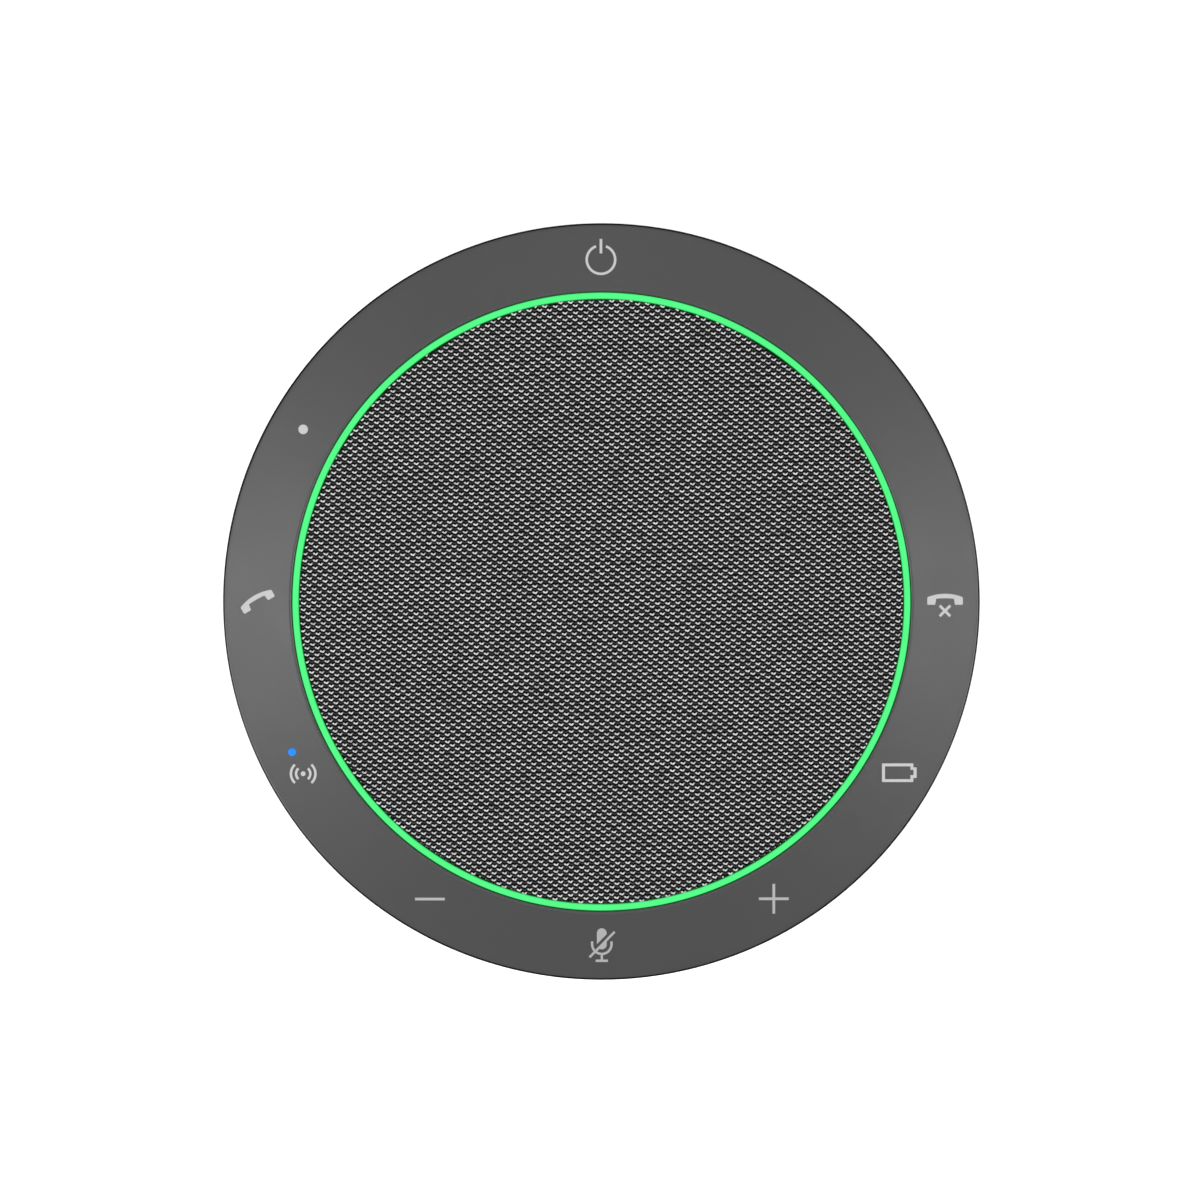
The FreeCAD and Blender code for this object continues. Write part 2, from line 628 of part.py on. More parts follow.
def rounded_bar(width, thickness, corner, start, end):
    """A bar along +Y with a rounded rectangular section."""
    a, b = width / 2, thickness / 2
    section = [(-a, -b, corner), (a, -b, corner), (a, b, corner), (-a, b, corner)]
    return outline(section, lambda x, z: V(x, start, z)).extrude(V(0, end - start, 0))


def usb_plug_grip():
    """Overmoulded plug body with finger ribs and a tapering tail for the cable."""
    start, end = PLUG_BODY_Y
    body = rounded_bar(PLUG_W, PLUG_T, 2.2, start, end)
    body = body.makeFillet(0.7, rim_edges(body, V(0, 1, 0)))
    tail_length = start - PLUG_TAIL_Y
    tail = Part.makeCone(PLUG_TAIL_R, 2.5, tail_length + 0.5, V(0, PLUG_TAIL_Y, 0), V(0, 1, 0))
    tail_end = Part.makeCylinder(PLUG_TAIL_R, 2 * PLUG_TAIL_R, V(0, PLUG_TAIL_Y - PLUG_TAIL_R, 0), V(0, 1, 0))
    knuckle = rod(PLUG_TAIL_R, -PLUG_TAIL_R, PLUG_TAIL_R, 0, PLUG_TAIL_Y)
    body = body.fuse([tail, tail_end.common(knuckle)])
    ribs = [rounded_bar(PLUG_W - 3.4, 0.8, 0.35, start + 5 + k * 2.0, start + 6 + k * 2.0) for k in range(5)]
    for side in (-1, 1):
        for rib in ribs:
            copy = rib.copy()
            copy.translate(V(0, 0, side * (PLUG_T / 2 + 0.1)))
            body = body.cut(copy)
    throat = rounded_bar(PLUG_SHELL_W + 0.04, PLUG_SHELL_T + 0.04, 1.25, end - 4, end + 1)
    return plug_frame(body.cut(throat))


def usb_plug_shell():
    """Metal sleeve of the connector."""
    end = PLUG_BODY_Y[1]
    sleeve = rounded_bar(PLUG_SHELL_W, PLUG_SHELL_T, 1.2, end - 4, end + PLUG_SHELL_L)
    hollow = rounded_bar(PLUG_SHELL_W - 0.7, PLUG_SHELL_T - 0.7, 0.88, end - 3.5, end + PLUG_SHELL_L + 1)
    return plug_frame(sleeve.cut(hollow))


def usb_plug_core():
    """Insulator with the contact slot inside the sleeve."""
    end = PLUG_BODY_Y[1]
    core = rounded_bar(PLUG_SHELL_W - 0.75, PLUG_SHELL_T - 0.75, 0.85, end - 3.4, end + PLUG_SHELL_L - 0.3)
    slot = rounded_bar(PLUG_SHELL_W - 2.0, 0.75, 0.2, end, end + PLUG_SHELL_L + 1)
    return plug_frame(core.cut(slot))


# ---- Loudspeaker -----------------------------------------------------------------------------
def speaker_ears(radius, bottom, top):
    ears = [
        sector(SPEAKER_FLANGE_R - 2, SPEAKER_EAR_CENTRE_R, 4.6, bottom, top),
        rod_at(radius, bottom, top, SPEAKER_EAR_CENTRE_R, 0),
    ]
    return [turned(ear, angle) for ear in ears for angle in SPEAKER_EAR_ANGLES]


def ear_holes(radius):
    hole = rod_at(radius, DECK_Z, 30, SPEAKER_EAR_CENTRE_R, 0)
    return around(hole, SPEAKER_EAR_ANGLES)


def speaker_basket():
    """Stamped frame: flange with four ears, a short skirt, a windowed bowl and a seat for the magnet."""
    top, seat = SPEAKER_FRONT_Z, TOP_PLATE_Z[1]
    bowl = revolve(
        [
            (BASKET_HOLE_R, seat),
            (18.2, seat, 0.8),
            (27.6, 21.0, 1.0),
            (28.7, SPEAKER_FLANGE_Z),
            (SPEAKER_FLANGE_R, SPEAKER_FLANGE_Z),
            (SPEAKER_FLANGE_R, top),
            (27.8, top),
            (26.7, 21.5, 1.0),
            (17.9, seat + BASKET_T, 0.8),
            (BASKET_HOLE_R, seat + BASKET_T),
        ]
    )
    bowl = bowl.fuse(speaker_ears(SPEAKER_EAR_R, SPEAKER_FLANGE_Z, top))
    window = sector(20.0, 25.6, 17.0, seat + 0.4, SPEAKER_FLANGE_Z + 0.2, 1.2)
    windows = around(window, [30 + 60 * k for k in range(6)])
    return bowl.cut(group(windows + ear_holes(1.1)))


def speaker_gasket():
    """Foam ring under the flange."""
    bottom, top = DECK_TOP_Z, SPEAKER_FLANGE_Z
    ring = tube(DECK_HOLE_R + 0.2, SPEAKER_FLANGE_R, bottom, top)
    return ring.fuse(speaker_ears(SPEAKER_EAR_R, bottom, top)).cut(group(ear_holes(1.1))).removeSplitter()


def speaker_yoke():
    """Back plate with its centre pole."""
    pole_r = COIL_R - 0.35
    plate_top = MAGNET_Z[0]
    pole_top = TOP_PLATE_Z[1]
    plate = [(0, YOKE_Z), (18.6, YOKE_Z, 0.6), (18.6, plate_top), (pole_r, plate_top)]
    return revolve(plate + [(pole_r, pole_top, 0.3), (0, pole_top)])


def speaker_magnet():
    low, high = MAGNET_Z
    return revolve([(10.3, low), (19.6, low, 0.4), (19.6, high, 0.4), (10.3, high)])


def speaker_top_plate():
    low, high = TOP_PLATE_Z
    return revolve([(COIL_R + 1.15, low), (18.2, low), (18.2, high), (COIL_R + 1.15, high)])


def voice_coil():
    """Former with its winding."""
    former_out, winding_out = COIL_R + 0.2, COIL_R + 0.7
    return revolve(
        [
            (COIL_R, 13.1),
            (former_out, 13.1),
            (former_out, 13.5),
            (winding_out, 13.5, 0.1),
            (winding_out, 17.2, 0.1),
            (former_out, 17.2),
            (former_out, 19.4),
            (COIL_R, 19.4),
        ]
    )


def speaker_cone():
    return revolve(
        [
            (CONE_NECK_R, CONE_NECK_Z),
            (CONE_OUTER_R - 2.0, CONE_EDGE_Z - 0.1, 3.0),
            (CONE_OUTER_R, CONE_EDGE_Z),
            (CONE_OUTER_R, CONE_EDGE_Z + CONE_T),
            (CONE_OUTER_R - 2.0, CONE_EDGE_Z + CONE_T - 0.1, 3.0),
            (CONE_NECK_R, CONE_NECK_Z + CONE_T),
        ]
    )


def speaker_dust_cap():
    """Domed cover over the voice coil."""
    foot_r, rise, thickness = 8.8, 2.2, 0.35
    foot_z = CONE_NECK_Z + CONE_T + 0.36
    sphere_r = (foot_r**2 + rise**2) / (2 * rise)
    crown = foot_z + rise
    outer = Part.makeSphere(sphere_r, V(0, 0, crown - sphere_r))
    inner = Part.makeSphere(sphere_r - thickness, V(0, 0, crown - sphere_r))
    return outer.cut(inner).common(rod(foot_r + 1, foot_z, crown + 1))


def speaker_surround():
    """Half-roll rubber edge between the cone and the flange."""
    inner_lip, outer_lip, thickness, roll_r = 24.3, 32.4, 0.4, 2.2
    low = SPEAKER_FRONT_Z + 0.02
    centre = (CONE_OUTER_R + 0.4 + 30.8) / 2
    outside = Part.makeTorus(centre, roll_r, V(0, 0, low))
    inside = Part.makeTorus(centre, roll_r - thickness, V(0, 0, low))
    roll = outside.cut(inside).common(tube(20, 34, low, low + 5))
    lips = tube(inner_lip, centre - roll_r + thickness, low, low + thickness)
    lips_out = tube(centre + roll_r - thickness, outer_lip, low, low + thickness)
    return roll.fuse([lips, lips_out]).removeSplitter()


def speaker_spider():
    """Corrugated cloth disc that centres the voice coil, glued to the basket by its flat outer edge."""
    inner, outer, fold, thickness, ridges = COIL_R + 0.25, BASKET_HOLE_R - 0.1, 0.55, 0.3, 4
    land_z = TOP_PLATE_Z[1] + BASKET_T + FIT
    land_start, land_end = BASKET_HOLE_R + 0.5, BASKET_HOLE_R + 1.6
    middle_z = land_z + 0.6
    pitch = (outer - inner) / (2 * ridges)
    upper, lower = [], []
    for k in range(2 * ridges + 1):
        swing = 0 if k in (0, 2 * ridges) else (fold / 2) * (1 if k % 2 else -1)
        corner = () if k in (0, 2 * ridges) else (0.5,)
        upper.append((inner + k * pitch, middle_z + swing + thickness / 2) + corner)
        lower.append((inner + k * pitch, middle_z + swing - thickness / 2) + corner)
    upper += [(land_start, land_z + thickness), (land_end, land_z + thickness)]
    lower += [(land_start, land_z), (land_end, land_z)]
    return revolve(upper + lower[::-1])


# ---- Boards and battery ----------------------------------------------------------------------
def ring_pcb():
    """Ring board under the keys and the light ring."""
    board = tube(52.4, 63.5, RING_PCB_Z, RING_PCB_TOP_Z)
    holes = around(rod_at(BEZEL_BOSS_R + 0.3, 23, 27, BEZEL_BOSS_CENTRE_R, 0), BEZEL_BOSS_ANGLES)
    holes += around(rod_at(0.9, 23, 27, RING_PCB_SCREW_CENTRE_R, 0), RING_PCB_SCREW_ANGLES)
    return board.cut(group(holes))


def key_switches():
    """Tactile switch bodies, one under each key, open at the top for the pusher."""
    size = 4.6
    body = Part.makeBox(size, size, SWITCH_H, V(KEY_CENTRE_R - size / 2, -size / 2, RING_PCB_TOP_Z))
    body = body.makeChamfer(0.3, [e for e in body.Edges if e.Vertexes[0].Point.z != e.Vertexes[1].Point.z])
    well = rod_at(KEY_PUSHER_R + 0.2, RING_PCB_TOP_Z + 0.2, 30, KEY_CENTRE_R, 0)
    return group(around(body.cut(well), KEY_ANGLES.values()))


def switch_domes():
    """Snap domes inside the switches, just clear of the pushers."""
    radius, rise, thickness = 1.3, 0.62, 0.08
    sphere_r = (radius**2 + rise**2) / (2 * rise)
    foot = RING_PCB_TOP_Z + 0.22
    centre = V(0, 0, foot + rise - sphere_r)
    shell = Part.makeSphere(sphere_r, centre).cut(Part.makeSphere(sphere_r - thickness, centre))
    dome = shell.common(rod(radius, foot, foot + 1))
    dome.translate(V(KEY_CENTRE_R, 0, 0))
    return group(around(dome, KEY_ANGLES.values()))


def ring_leds():
    """Lamps under the light ring, and one under the pairing light pipe."""
    lamp = Part.makeBox(0.9, 1.8, 0.75, V((LIGHT_INNER_R + LIGHT_OUTER_R) / 2 - 0.45, -0.9, RING_PCB_TOP_Z))
    lamps = around(lamp, [FULL_TURN * (k + 0.5) / LED_COUNT for k in range(LED_COUNT)])
    status = Part.makeBox(1.0, 1.0, 0.75, V(STATUS_R - 0.5, -0.5, RING_PCB_TOP_Z))
    return group(lamps + [turned(status, STATUS_ANGLE)])


def microphones():
    """Four MEMS capsules, lid up, each with its sound hole."""
    can = Part.makeBox(2.8, 3.6, 1.0, V(MIC_CENTRE_R - 1.4, -1.8, RING_PCB_TOP_Z))
    can = can.cut(rod_at(0.35, RING_PCB_TOP_Z + 0.6, 30, MIC_CENTRE_R, 0))
    return group(around(can, MIC_ANGLES))


def mic_boots():
    """Rubber ducts that join each capsule to its port in the wall."""
    outer_x = BODY_R - SKIN_T - BEZEL_WALL_T - FIT
    inner_x = MIC_CENTRE_R - 2.0
    block = Part.makeBox(outer_x - inner_x - 1.0, 4.8, 3.0, V(inner_x, -2.4, RING_PCB_TOP_Z + FIT))
    nose = Part.makeCylinder(1.1, 2.0, V(outer_x - 2.0, 0, MIC_PORT_Z), V(1, 0, 0))
    well = Part.makeBox(2.9, 3.7, 1.05, V(MIC_CENTRE_R - 1.45, -1.85, RING_PCB_TOP_Z + FIT))
    riser = rod_at(MIC_PORT_R, RING_PCB_TOP_Z, MIC_PORT_Z, MIC_CENTRE_R, 0)
    duct = Part.makeCylinder(MIC_PORT_R, 8, V(MIC_CENTRE_R, 0, MIC_PORT_Z), V(1, 0, 0))
    boot = block.fuse(nose).cut(group([well, riser, duct]))
    return group(around(boot, MIC_ANGLES))


def main_pcb():
    """Crescent board hung under the deck in the front half."""
    inner_r, outer_r, half = 37.0, 54.6, 55.5
    board = turned(sector(inner_r, outer_r, half, MAIN_PCB_Z, MAIN_PCB_Z + PCB_T, 2.0), 270)
    cuts = around(rod_at(PILLAR_R + 0.6, 16, 21, PILLAR_CENTRE_R, 0), PILLAR_ANGLES)
    cuts += [rod_at(0.9, 16, 21, r, a) for r, a in MAIN_PCB_SCREWS]
    return board.cut(group(cuts))


def block_on_board(length, width, height, centre_r, angle, under=True):
    """A component on the main board, under it or on top."""
    bottom = MAIN_PCB_Z - height if under else MAIN_PCB_Z + PCB_T
    block = slab(width, length, bottom, bottom + height, 0.3)
    block.translate(V(centre_r, 0, 0))
    return turned(block, angle)


def pcb_shield_can():
    """Pressed lid over the radio part of the main board."""
    can = block_on_board(16, 12, 2.2, 44.5, 240)
    hollow = slab(11.4, 15.4, MAIN_PCB_Z - 1.9, MAIN_PCB_Z + 1, 0.3)
    hollow.translate(V(44.5, 0, 0))
    return can.cut(turned(hollow, 240))


def pcb_components():
    """Processor, amplifier, charger, inductors, capacitors and sockets of the main board."""
    parts = [
        block_on_board(9, 9, 1.1, 42.3, 270),
        block_on_board(6, 6, 1.0, 47.5, 287),
        block_on_board(5, 5, 0.9, 43.0, 297),
        block_on_board(5, 5, 2.4, 46.0, 308),
        block_on_board(4, 4, 2.0, 49.5, 316),
        block_on_board(9.5, 3.2, 1.2, 52.0, RIBBON_ANGLE, under=False),
        block_on_board(6.0, 4.0, 1.9, 43.5, SPEAKER_SOCKET_ANGLE, under=False),
        block_on_board(6.0, 4.0, 1.9, 43.5, BATTERY_SOCKET_ANGLE, under=False),
        block_on_board(6.0, 4.0, 1.9, 43.5, CABLE_SOCKET_ANGLE, under=False),
    ]
    for radius, angle in ((50.4, 256), (50.4, 261), (50.4, 279), (50.4, 296), (51.0, 302)):
        parts.append(rod_at(1.6, MAIN_PCB_Z - 3.0, MAIN_PCB_Z, radius, angle))
    return group(parts)


def ribbon_cable():
    """Flat cable from the main board, up through the deck, to the ring board."""
    socket_z = MAIN_PCB_Z + PCB_T + 1.2
    bend_r, width, thickness = 55.6, 8.4, 0.25
    points = [
        (51.0, socket_z),
        (bend_r, socket_z, 0.8),
        (bend_r, RING_PCB_Z - 0.02),
        (bend_r - thickness, RING_PCB_Z - 0.02),
        (bend_r - thickness, socket_z + thickness, 0.55),
        (51.0, socket_z + thickness),
    ]
    strip = outline(points, lambda r, z: V(r, -width / 2, z)).extrude(V(0, width, 0))
    return turned(strip, RIBBON_ANGLE)


def internal_leads():
    """Wires to the main board: from the loudspeaker, from the battery and from the cable's inner end."""
    top = MAIN_PCB_Z + PCB_T + 1.1
    speaker = [
        (24.0, 240.0, 18.1),
        (28.0, 240.0, 17.8),
        (33.5, 238.0, 18.6),
        (37.5, 235.0, top),
        (41.0, 231.0, top),
    ]
    battery = [
        (27.3, 310.5, 5.9),
        (30.5, 305.0, 7.4),
        (34.4, 301.5, 13.0),
        (35.3, 300.5, 19.8),
        (41.1, 300.0, top),
    ]
    cable = [
        (48.3, 37.2, CABLE_LOW_Z),
        (46.4, 33.0, CABLE_LOW_Z),
        (45.2, 25.0, 7.3),
        (45.0, 10.0, 9.3),
        (45.0, -6.0, 13.4),
        (45.0, -20.0, 17.8),
        (44.6, -30.0, top),
        (44.0, -37.0, top),
        (43.6, -43.4, top),
    ]

    def lead(route, radius, shift=0.0):
        points = [V(*polar(r, a + math.degrees(shift / r)), z) for r, a, z in route]
        runs = [straight_run(start, end, radius) for start, end in zip(points, points[1:])]
        elbows = [Part.makeSphere(radius, point) for point in points[1:-1]]
        return runs[0].multiFuse(runs[1:] + elbows)

    beside = 0.69
    thin = [lead(route, 0.4, shift) for shift in (-beside, beside) for route in (speaker, battery)]
    return group([lead(cable, 0.9)] + thin)


def battery_pack():
    length, width, height = BATTERY_SIZE
    cell = slab(length, width, BATTERY_Z, BATTERY_Z + height, 3.0)
    return cell.makeFillet(1.0, rim_edges(cell, UP))


def battery_pad():
    """Foam between the battery and the magnet."""
    top = BATTERY_Z + BATTERY_SIZE[2]
    return slab(34.0, 26.0, top, YOKE_Z - FIT, 2.0)


# ---- Fasteners -------------------------------------------------------------------------------
def placed(shape, radius, angle, height, flip=False):
    copy = shape.copy()
    if flip:
        copy.rotate(V(0, 0, 0), V(1, 0, 0), 180)
    copy.translate(V(*polar(radius, angle), height))
    return copy


def base_screws():
    """Six screws, driven up from under the foot ring into the deck pillars."""
    length = 10.0
    body = screw(2.5, 1.7, 1.02, length)
    tip = BASE_SCREW_SEAT_Z + length
    return group([placed(body, PILLAR_CENTRE_R, a, tip, flip=True) for a in PILLAR_ANGLES])


def deck_screws():
    length = 4.6
    body = screw(2.1, 1.35, 0.75, length)
    tip = DECK_TOP_Z - DECK_SCREW_SINK - length
    return group([placed(body, DECK_SCREW_CENTRE_R, a, tip) for a in DECK_SCREW_ANGLES])


def bezel_screws():
    length = 6.0
    body = screw(1.8, 1.3, 0.75, length)
    tip = DECK_Z + length
    return group([placed(body, BEZEL_BOSS_CENTRE_R, a, tip, flip=True) for a in BEZEL_BOSS_ANGLES])


def board_screws():
    """Screws of both boards and of the cable clamp."""
    length = 2.6
    body = screw(1.5, 1.0, 0.65, length)
    ring = [placed(body, RING_PCB_SCREW_CENTRE_R, a, RING_PCB_TOP_Z - length) for a in RING_PCB_SCREW_ANGLES]
    main = [placed(body, r, a, MAIN_PCB_Z + length, flip=True) for r, a in MAIN_PCB_SCREWS]
    clamp = []
    for side in (-1, 1):
        copy = body.copy()
        copy.translate(V(*clamp_point(side), CLAMP_Z + CLAMP_T - length))
        clamp.append(copy)
    return group(ring + main + clamp)


def speaker_screws():
    length = 4.6
    body = screw(1.9, 1.2, 0.75, length)
    tip = SPEAKER_FRONT_Z - length
    return group([placed(body, SPEAKER_EAR_CENTRE_R, a, tip) for a in SPEAKER_EAR_ANGLES])


PIECES = {
    "ring_skin": ring_skin,
    "top_bezel": top_bezel,
    "pairing_light_pipe": pairing_light_pipe,
    "light_ring": light_ring,
    "grille_fabric": grille_fabric,
    "grille_frame": grille_frame,
    "side_housing": side_housing,
    "speaker_deck": speaker_deck,
    "base_housing": base_housing,
    "housing_seal": housing_seal,
    "foot_ring": foot_ring,
    "label_plate": label_plate,
    "usb_cable": usb_cable,
    "cable_grommet": cable_grommet,
    "cable_clamp": cable_clamp,
    "usb_plug_grip": usb_plug_grip,
    "usb_plug_shell": usb_plug_shell,
    "usb_plug_core": usb_plug_core,
    "speaker_basket": speaker_basket,
    "speaker_gasket": speaker_gasket,
    "speaker_yoke": speaker_yoke,
    "speaker_magnet": speaker_magnet,
    "speaker_top_plate": speaker_top_plate,
    "voice_coil": voice_coil,
    "speaker_cone": speaker_cone,
    "speaker_dust_cap": speaker_dust_cap,
    "speaker_surround": speaker_surround,
    "speaker_spider": speaker_spider,
    "ring_pcb": ring_pcb,
    "key_switches": key_switches,
    "switch_domes": switch_domes,
    "ring_leds": ring_leds,
    "microphones": microphones,
    "mic_boots": mic_boots,
    "main_pcb": main_pcb,
    "pcb_shield_can": pcb_shield_can,
    "pcb_components": pcb_components,
    "ribbon_cable": ribbon_cable,
    "internal_leads": internal_leads,
    "battery_pack": battery_pack,
    "battery_pad": battery_pad,
    "base_screws": base_screws,
    "deck_screws": deck_screws,
    "bezel_screws": bezel_screws,
    "board_screws": board_screws,
    "speaker_screws": speaker_screws,
}


def build():
    os.makedirs("parts", exist_ok=True)
    shapes = {name: make() for name, make in PIECES.items()}
    shapes.update({name: key(name) for name in KEY_ANGLES})
    for name, shape in shapes.items():
        faults = "" if shape.isValid() and shape.Volume > 0 else "  NOT VALID"
        print(f"{name}: {len(shape.Solids)} solids, {shape.Volume:.1f} mm3{faults}")
        shape.exportStep(f"parts/{name}.step")


build()
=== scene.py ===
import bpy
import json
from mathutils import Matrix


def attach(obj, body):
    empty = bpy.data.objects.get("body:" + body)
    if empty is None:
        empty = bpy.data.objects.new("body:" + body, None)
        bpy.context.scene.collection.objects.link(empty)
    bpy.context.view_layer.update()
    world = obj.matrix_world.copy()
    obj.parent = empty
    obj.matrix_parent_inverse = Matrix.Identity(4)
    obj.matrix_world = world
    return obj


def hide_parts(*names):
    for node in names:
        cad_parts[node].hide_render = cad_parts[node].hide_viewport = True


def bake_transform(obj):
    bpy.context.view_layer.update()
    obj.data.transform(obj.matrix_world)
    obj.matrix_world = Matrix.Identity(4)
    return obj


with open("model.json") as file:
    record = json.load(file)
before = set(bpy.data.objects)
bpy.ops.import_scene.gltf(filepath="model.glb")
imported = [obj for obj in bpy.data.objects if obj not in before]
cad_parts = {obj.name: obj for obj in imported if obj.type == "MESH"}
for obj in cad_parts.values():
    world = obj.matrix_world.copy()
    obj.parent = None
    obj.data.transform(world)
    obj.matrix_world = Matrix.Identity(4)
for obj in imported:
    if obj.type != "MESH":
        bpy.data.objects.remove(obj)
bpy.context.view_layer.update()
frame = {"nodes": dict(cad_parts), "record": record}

# A round conference speakerphone seen from straight above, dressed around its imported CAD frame.
# Lengths below are millimetres, with +Z up through the grille; mesh_piece() turns them into metres.
# Angles run from +X (hang-up key) towards +Y (power key).

import json
import math

import bpy
import numpy as np
from mathutils import Vector, geometry

MM = 0.001
TAU = 2 * math.pi

# ---- Sizes shared with the CAD -----------------------------------------------------------------
BODY_R, BODY_H = 66.25, 33.0
RING_INNER_R, RING_INNER_Z, RING_OUTER_Z = 54.25, 31.9, 31.25
RING_EDGE_R = 0.5
SKIN_T = 0.6
PART_LINE_Z = 23.8
KEY_CENTRE_R = 60.25
KEY_ANGLES = {
    "key_hang_up": 0,
    "key_power": 90,
    "key_shortcut": 150,
    "key_answer": 180,
    "key_pairing": 210,
    "key_volume_down": 240,
    "key_mute": 270,
    "key_volume_up": 300,
    "key_battery": 330,
}
PORT_ANGLES = (45, 135, 225, 315)
PORT_Z, PORT_R = 27.4, 0.6
LIGHT_INNER_R, LIGHT_OUTER_R, LIGHT_TOP_Z, LIGHT_FOOT_Z = 53.01, 54.08, 31.85, 29.2
STATUS_R, STATUS_ANGLE = 60.2, 205.95
STATUS_LENS_R, STATUS_CROWN = 0.69, 0.14
FABRIC_R, FABRIC_RISE = 52.9, 1.25
FOOT_INNER_R, FOOT_OUTER_R, FOOT_TOP_Z = 46.05, 55.95, 1.9
CABLE_R, CABLE_PATH_R, CABLE_INSIDE_R, CABLE_END_R = 1.75, 59.6, 48.5, 60.95
CABLE_LOW_Z, CABLE_HIGH_Z = 6.55, 11.3
CABLE_EXIT_ANGLE, CABLE_INSIDE_SWEEP, CABLE_SWEEP, CABLE_END_SWEEP = 76.0, 38.0, 625.5, 26.0
CABLE_CLIMB = (306.0, 346.0)
CABLE_SIDES = 28
PLUG_X, PLUG_TAIL_Y, PLUG_START_Y, PLUG_END_Y = 58.5, -17.2, -10.0, 10.5
PLUG_W, PLUG_T = 10.6, 5.4


# ---- Mesh helpers ------------------------------------------------------------------------------
def mesh_piece(name, points, faces, material, body=None, slot=None, smooth=True):
    """An object from points in mm and faces, which is a list or an array with one row per face."""
    mesh = bpy.data.meshes.new(name)
    points = np.asarray(points, float) * MM
    if isinstance(faces, np.ndarray):
        corners = faces.shape[1]
        mesh.vertices.add(len(points))
        mesh.vertices.foreach_set("co", points.astype(np.float32).ravel())
        mesh.loops.add(faces.size)
        mesh.loops.foreach_set("vertex_index", faces.astype(np.int32).ravel())
        mesh.polygons.add(len(faces))
        starts = np.arange(0, faces.size, corners, dtype=np.int32)
        mesh.polygons.foreach_set("loop_start", starts)
        mesh.update(calc_edges=True)
    else:
        mesh.from_pydata([tuple(p) for p in points], [], [tuple(f) for f in faces])
    mesh.polygons.foreach_set("use_smooth", [smooth] * len(mesh.polygons))
    mesh.materials.append(material)
    mesh.update()
    piece = bpy.data.objects.new(name, mesh)
    bpy.context.scene.collection.objects.link(piece)
    if body:
        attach(piece, body)
    return piece


def point_attribute(piece, name, values):
    layer = piece.data.attributes.new(name, "FLOAT", "POINT")
    layer.data.foreach_set("value", np.asarray(values, np.float32))


def follow(piece, body, share):
    """Bakes a piece's transform into its mesh. The body and the share for each point are not used."""
    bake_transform(piece)


def stand_in(name, node, points, faces, body="housing"):
    """A piece that takes a CAD node's place, with that node's look."""
    piece = mesh_piece(name, points, faces, SLOT_LOOKS[node_slots[node]], body, node_slots[node])
    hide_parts(node)
    return piece


def loft(sections, closed_path=False, caps=True):
    """Points and faces of a skin through sections, an array of (sections, points per section, 3)."""
    count, around = sections.shape[:2]
    rows = np.arange(count if closed_path else count - 1)
    cols = np.arange(around)
    a = rows[:, None] * around + cols
    b = rows[:, None] * around + (cols + 1) % around
    c = ((rows[:, None] + 1) % count) * around + (cols + 1) % around
    d = ((rows[:, None] + 1) % count) * around + cols
    quads = np.stack([a, b, c, d], axis=-1).reshape(-1, 4)
    faces = [tuple(q) for q in quads]
    if caps and not closed_path:
        faces.append(tuple(range(around - 1, -1, -1)))
        faces.append(tuple(range((count - 1) * around, count * around)))
    return sections.reshape(-1, 3), faces


def swept(profile, turn):
    """Sections of a (radius, height) profile at angles in radians about the vertical axis."""
    sections = np.zeros((len(turn), len(profile), 3))
    sections[..., 0] = profile[:, 0] * np.cos(turn)[:, None]
    sections[..., 1] = profile[:, 0] * np.sin(turn)[:, None]
    sections[..., 2] = profile[:, 1]
    return sections


def revolve(profile, steps):
    """Points and outward faces of a closed (radius, height) profile turned once about the vertical axis."""
    profile = np.asarray(profile, float)
    r, z = profile.T
    if np.sum(r * np.roll(z, -1) - np.roll(r, -1) * z) > 0:
        profile = profile[::-1]
    return loft(swept(profile, np.arange(steps) * TAU / steps), closed_path=True)


def spin(profile, steps):
    """Points and faces of a turned solid whose (radius, height) profile starts and ends on the axis."""
    body = np.array(profile[1:-1])
    count = len(body)
    points = [(0, 0, profile[0][1]), (0, 0, profile[-1][1])]
    for t in np.arange(steps) * TAU / steps:
        points += [(r * math.cos(t), r * math.sin(t), z) for r, z in body]
    faces = []
    for k in range(steps):
        a, b = 2 + k * count, 2 + ((k + 1) % steps) * count
        faces += [(a + i, a + i + 1, b + i + 1, b + i) for i in range(count - 1)]
        faces += [(0, a, b), (1, b + count - 1, a + count - 1)]
    return points, faces


def arc_points(centre, radius, start, end, count):
    """Points on an arc, angles in degrees."""
    turn = np.radians(np.linspace(start, end, count))
    return [(centre[0] + radius * math.cos(t), centre[1] + radius * math.sin(t)) for t in turn]


def heading(path):
    """Unit direction of travel at each point of a path."""
    ahead = np.gradient(path, axis=0)
    return ahead / np.linalg.norm(ahead, axis=1)[:, None]


def smoothstep(t):
    t = np.clip(t, 0.0, 1.0)
    return t * t * (3 - 2 * t)


def polar(radius, angle):
    return radius * math.cos(math.radians(angle)), radius * math.sin(math.radians(angle))


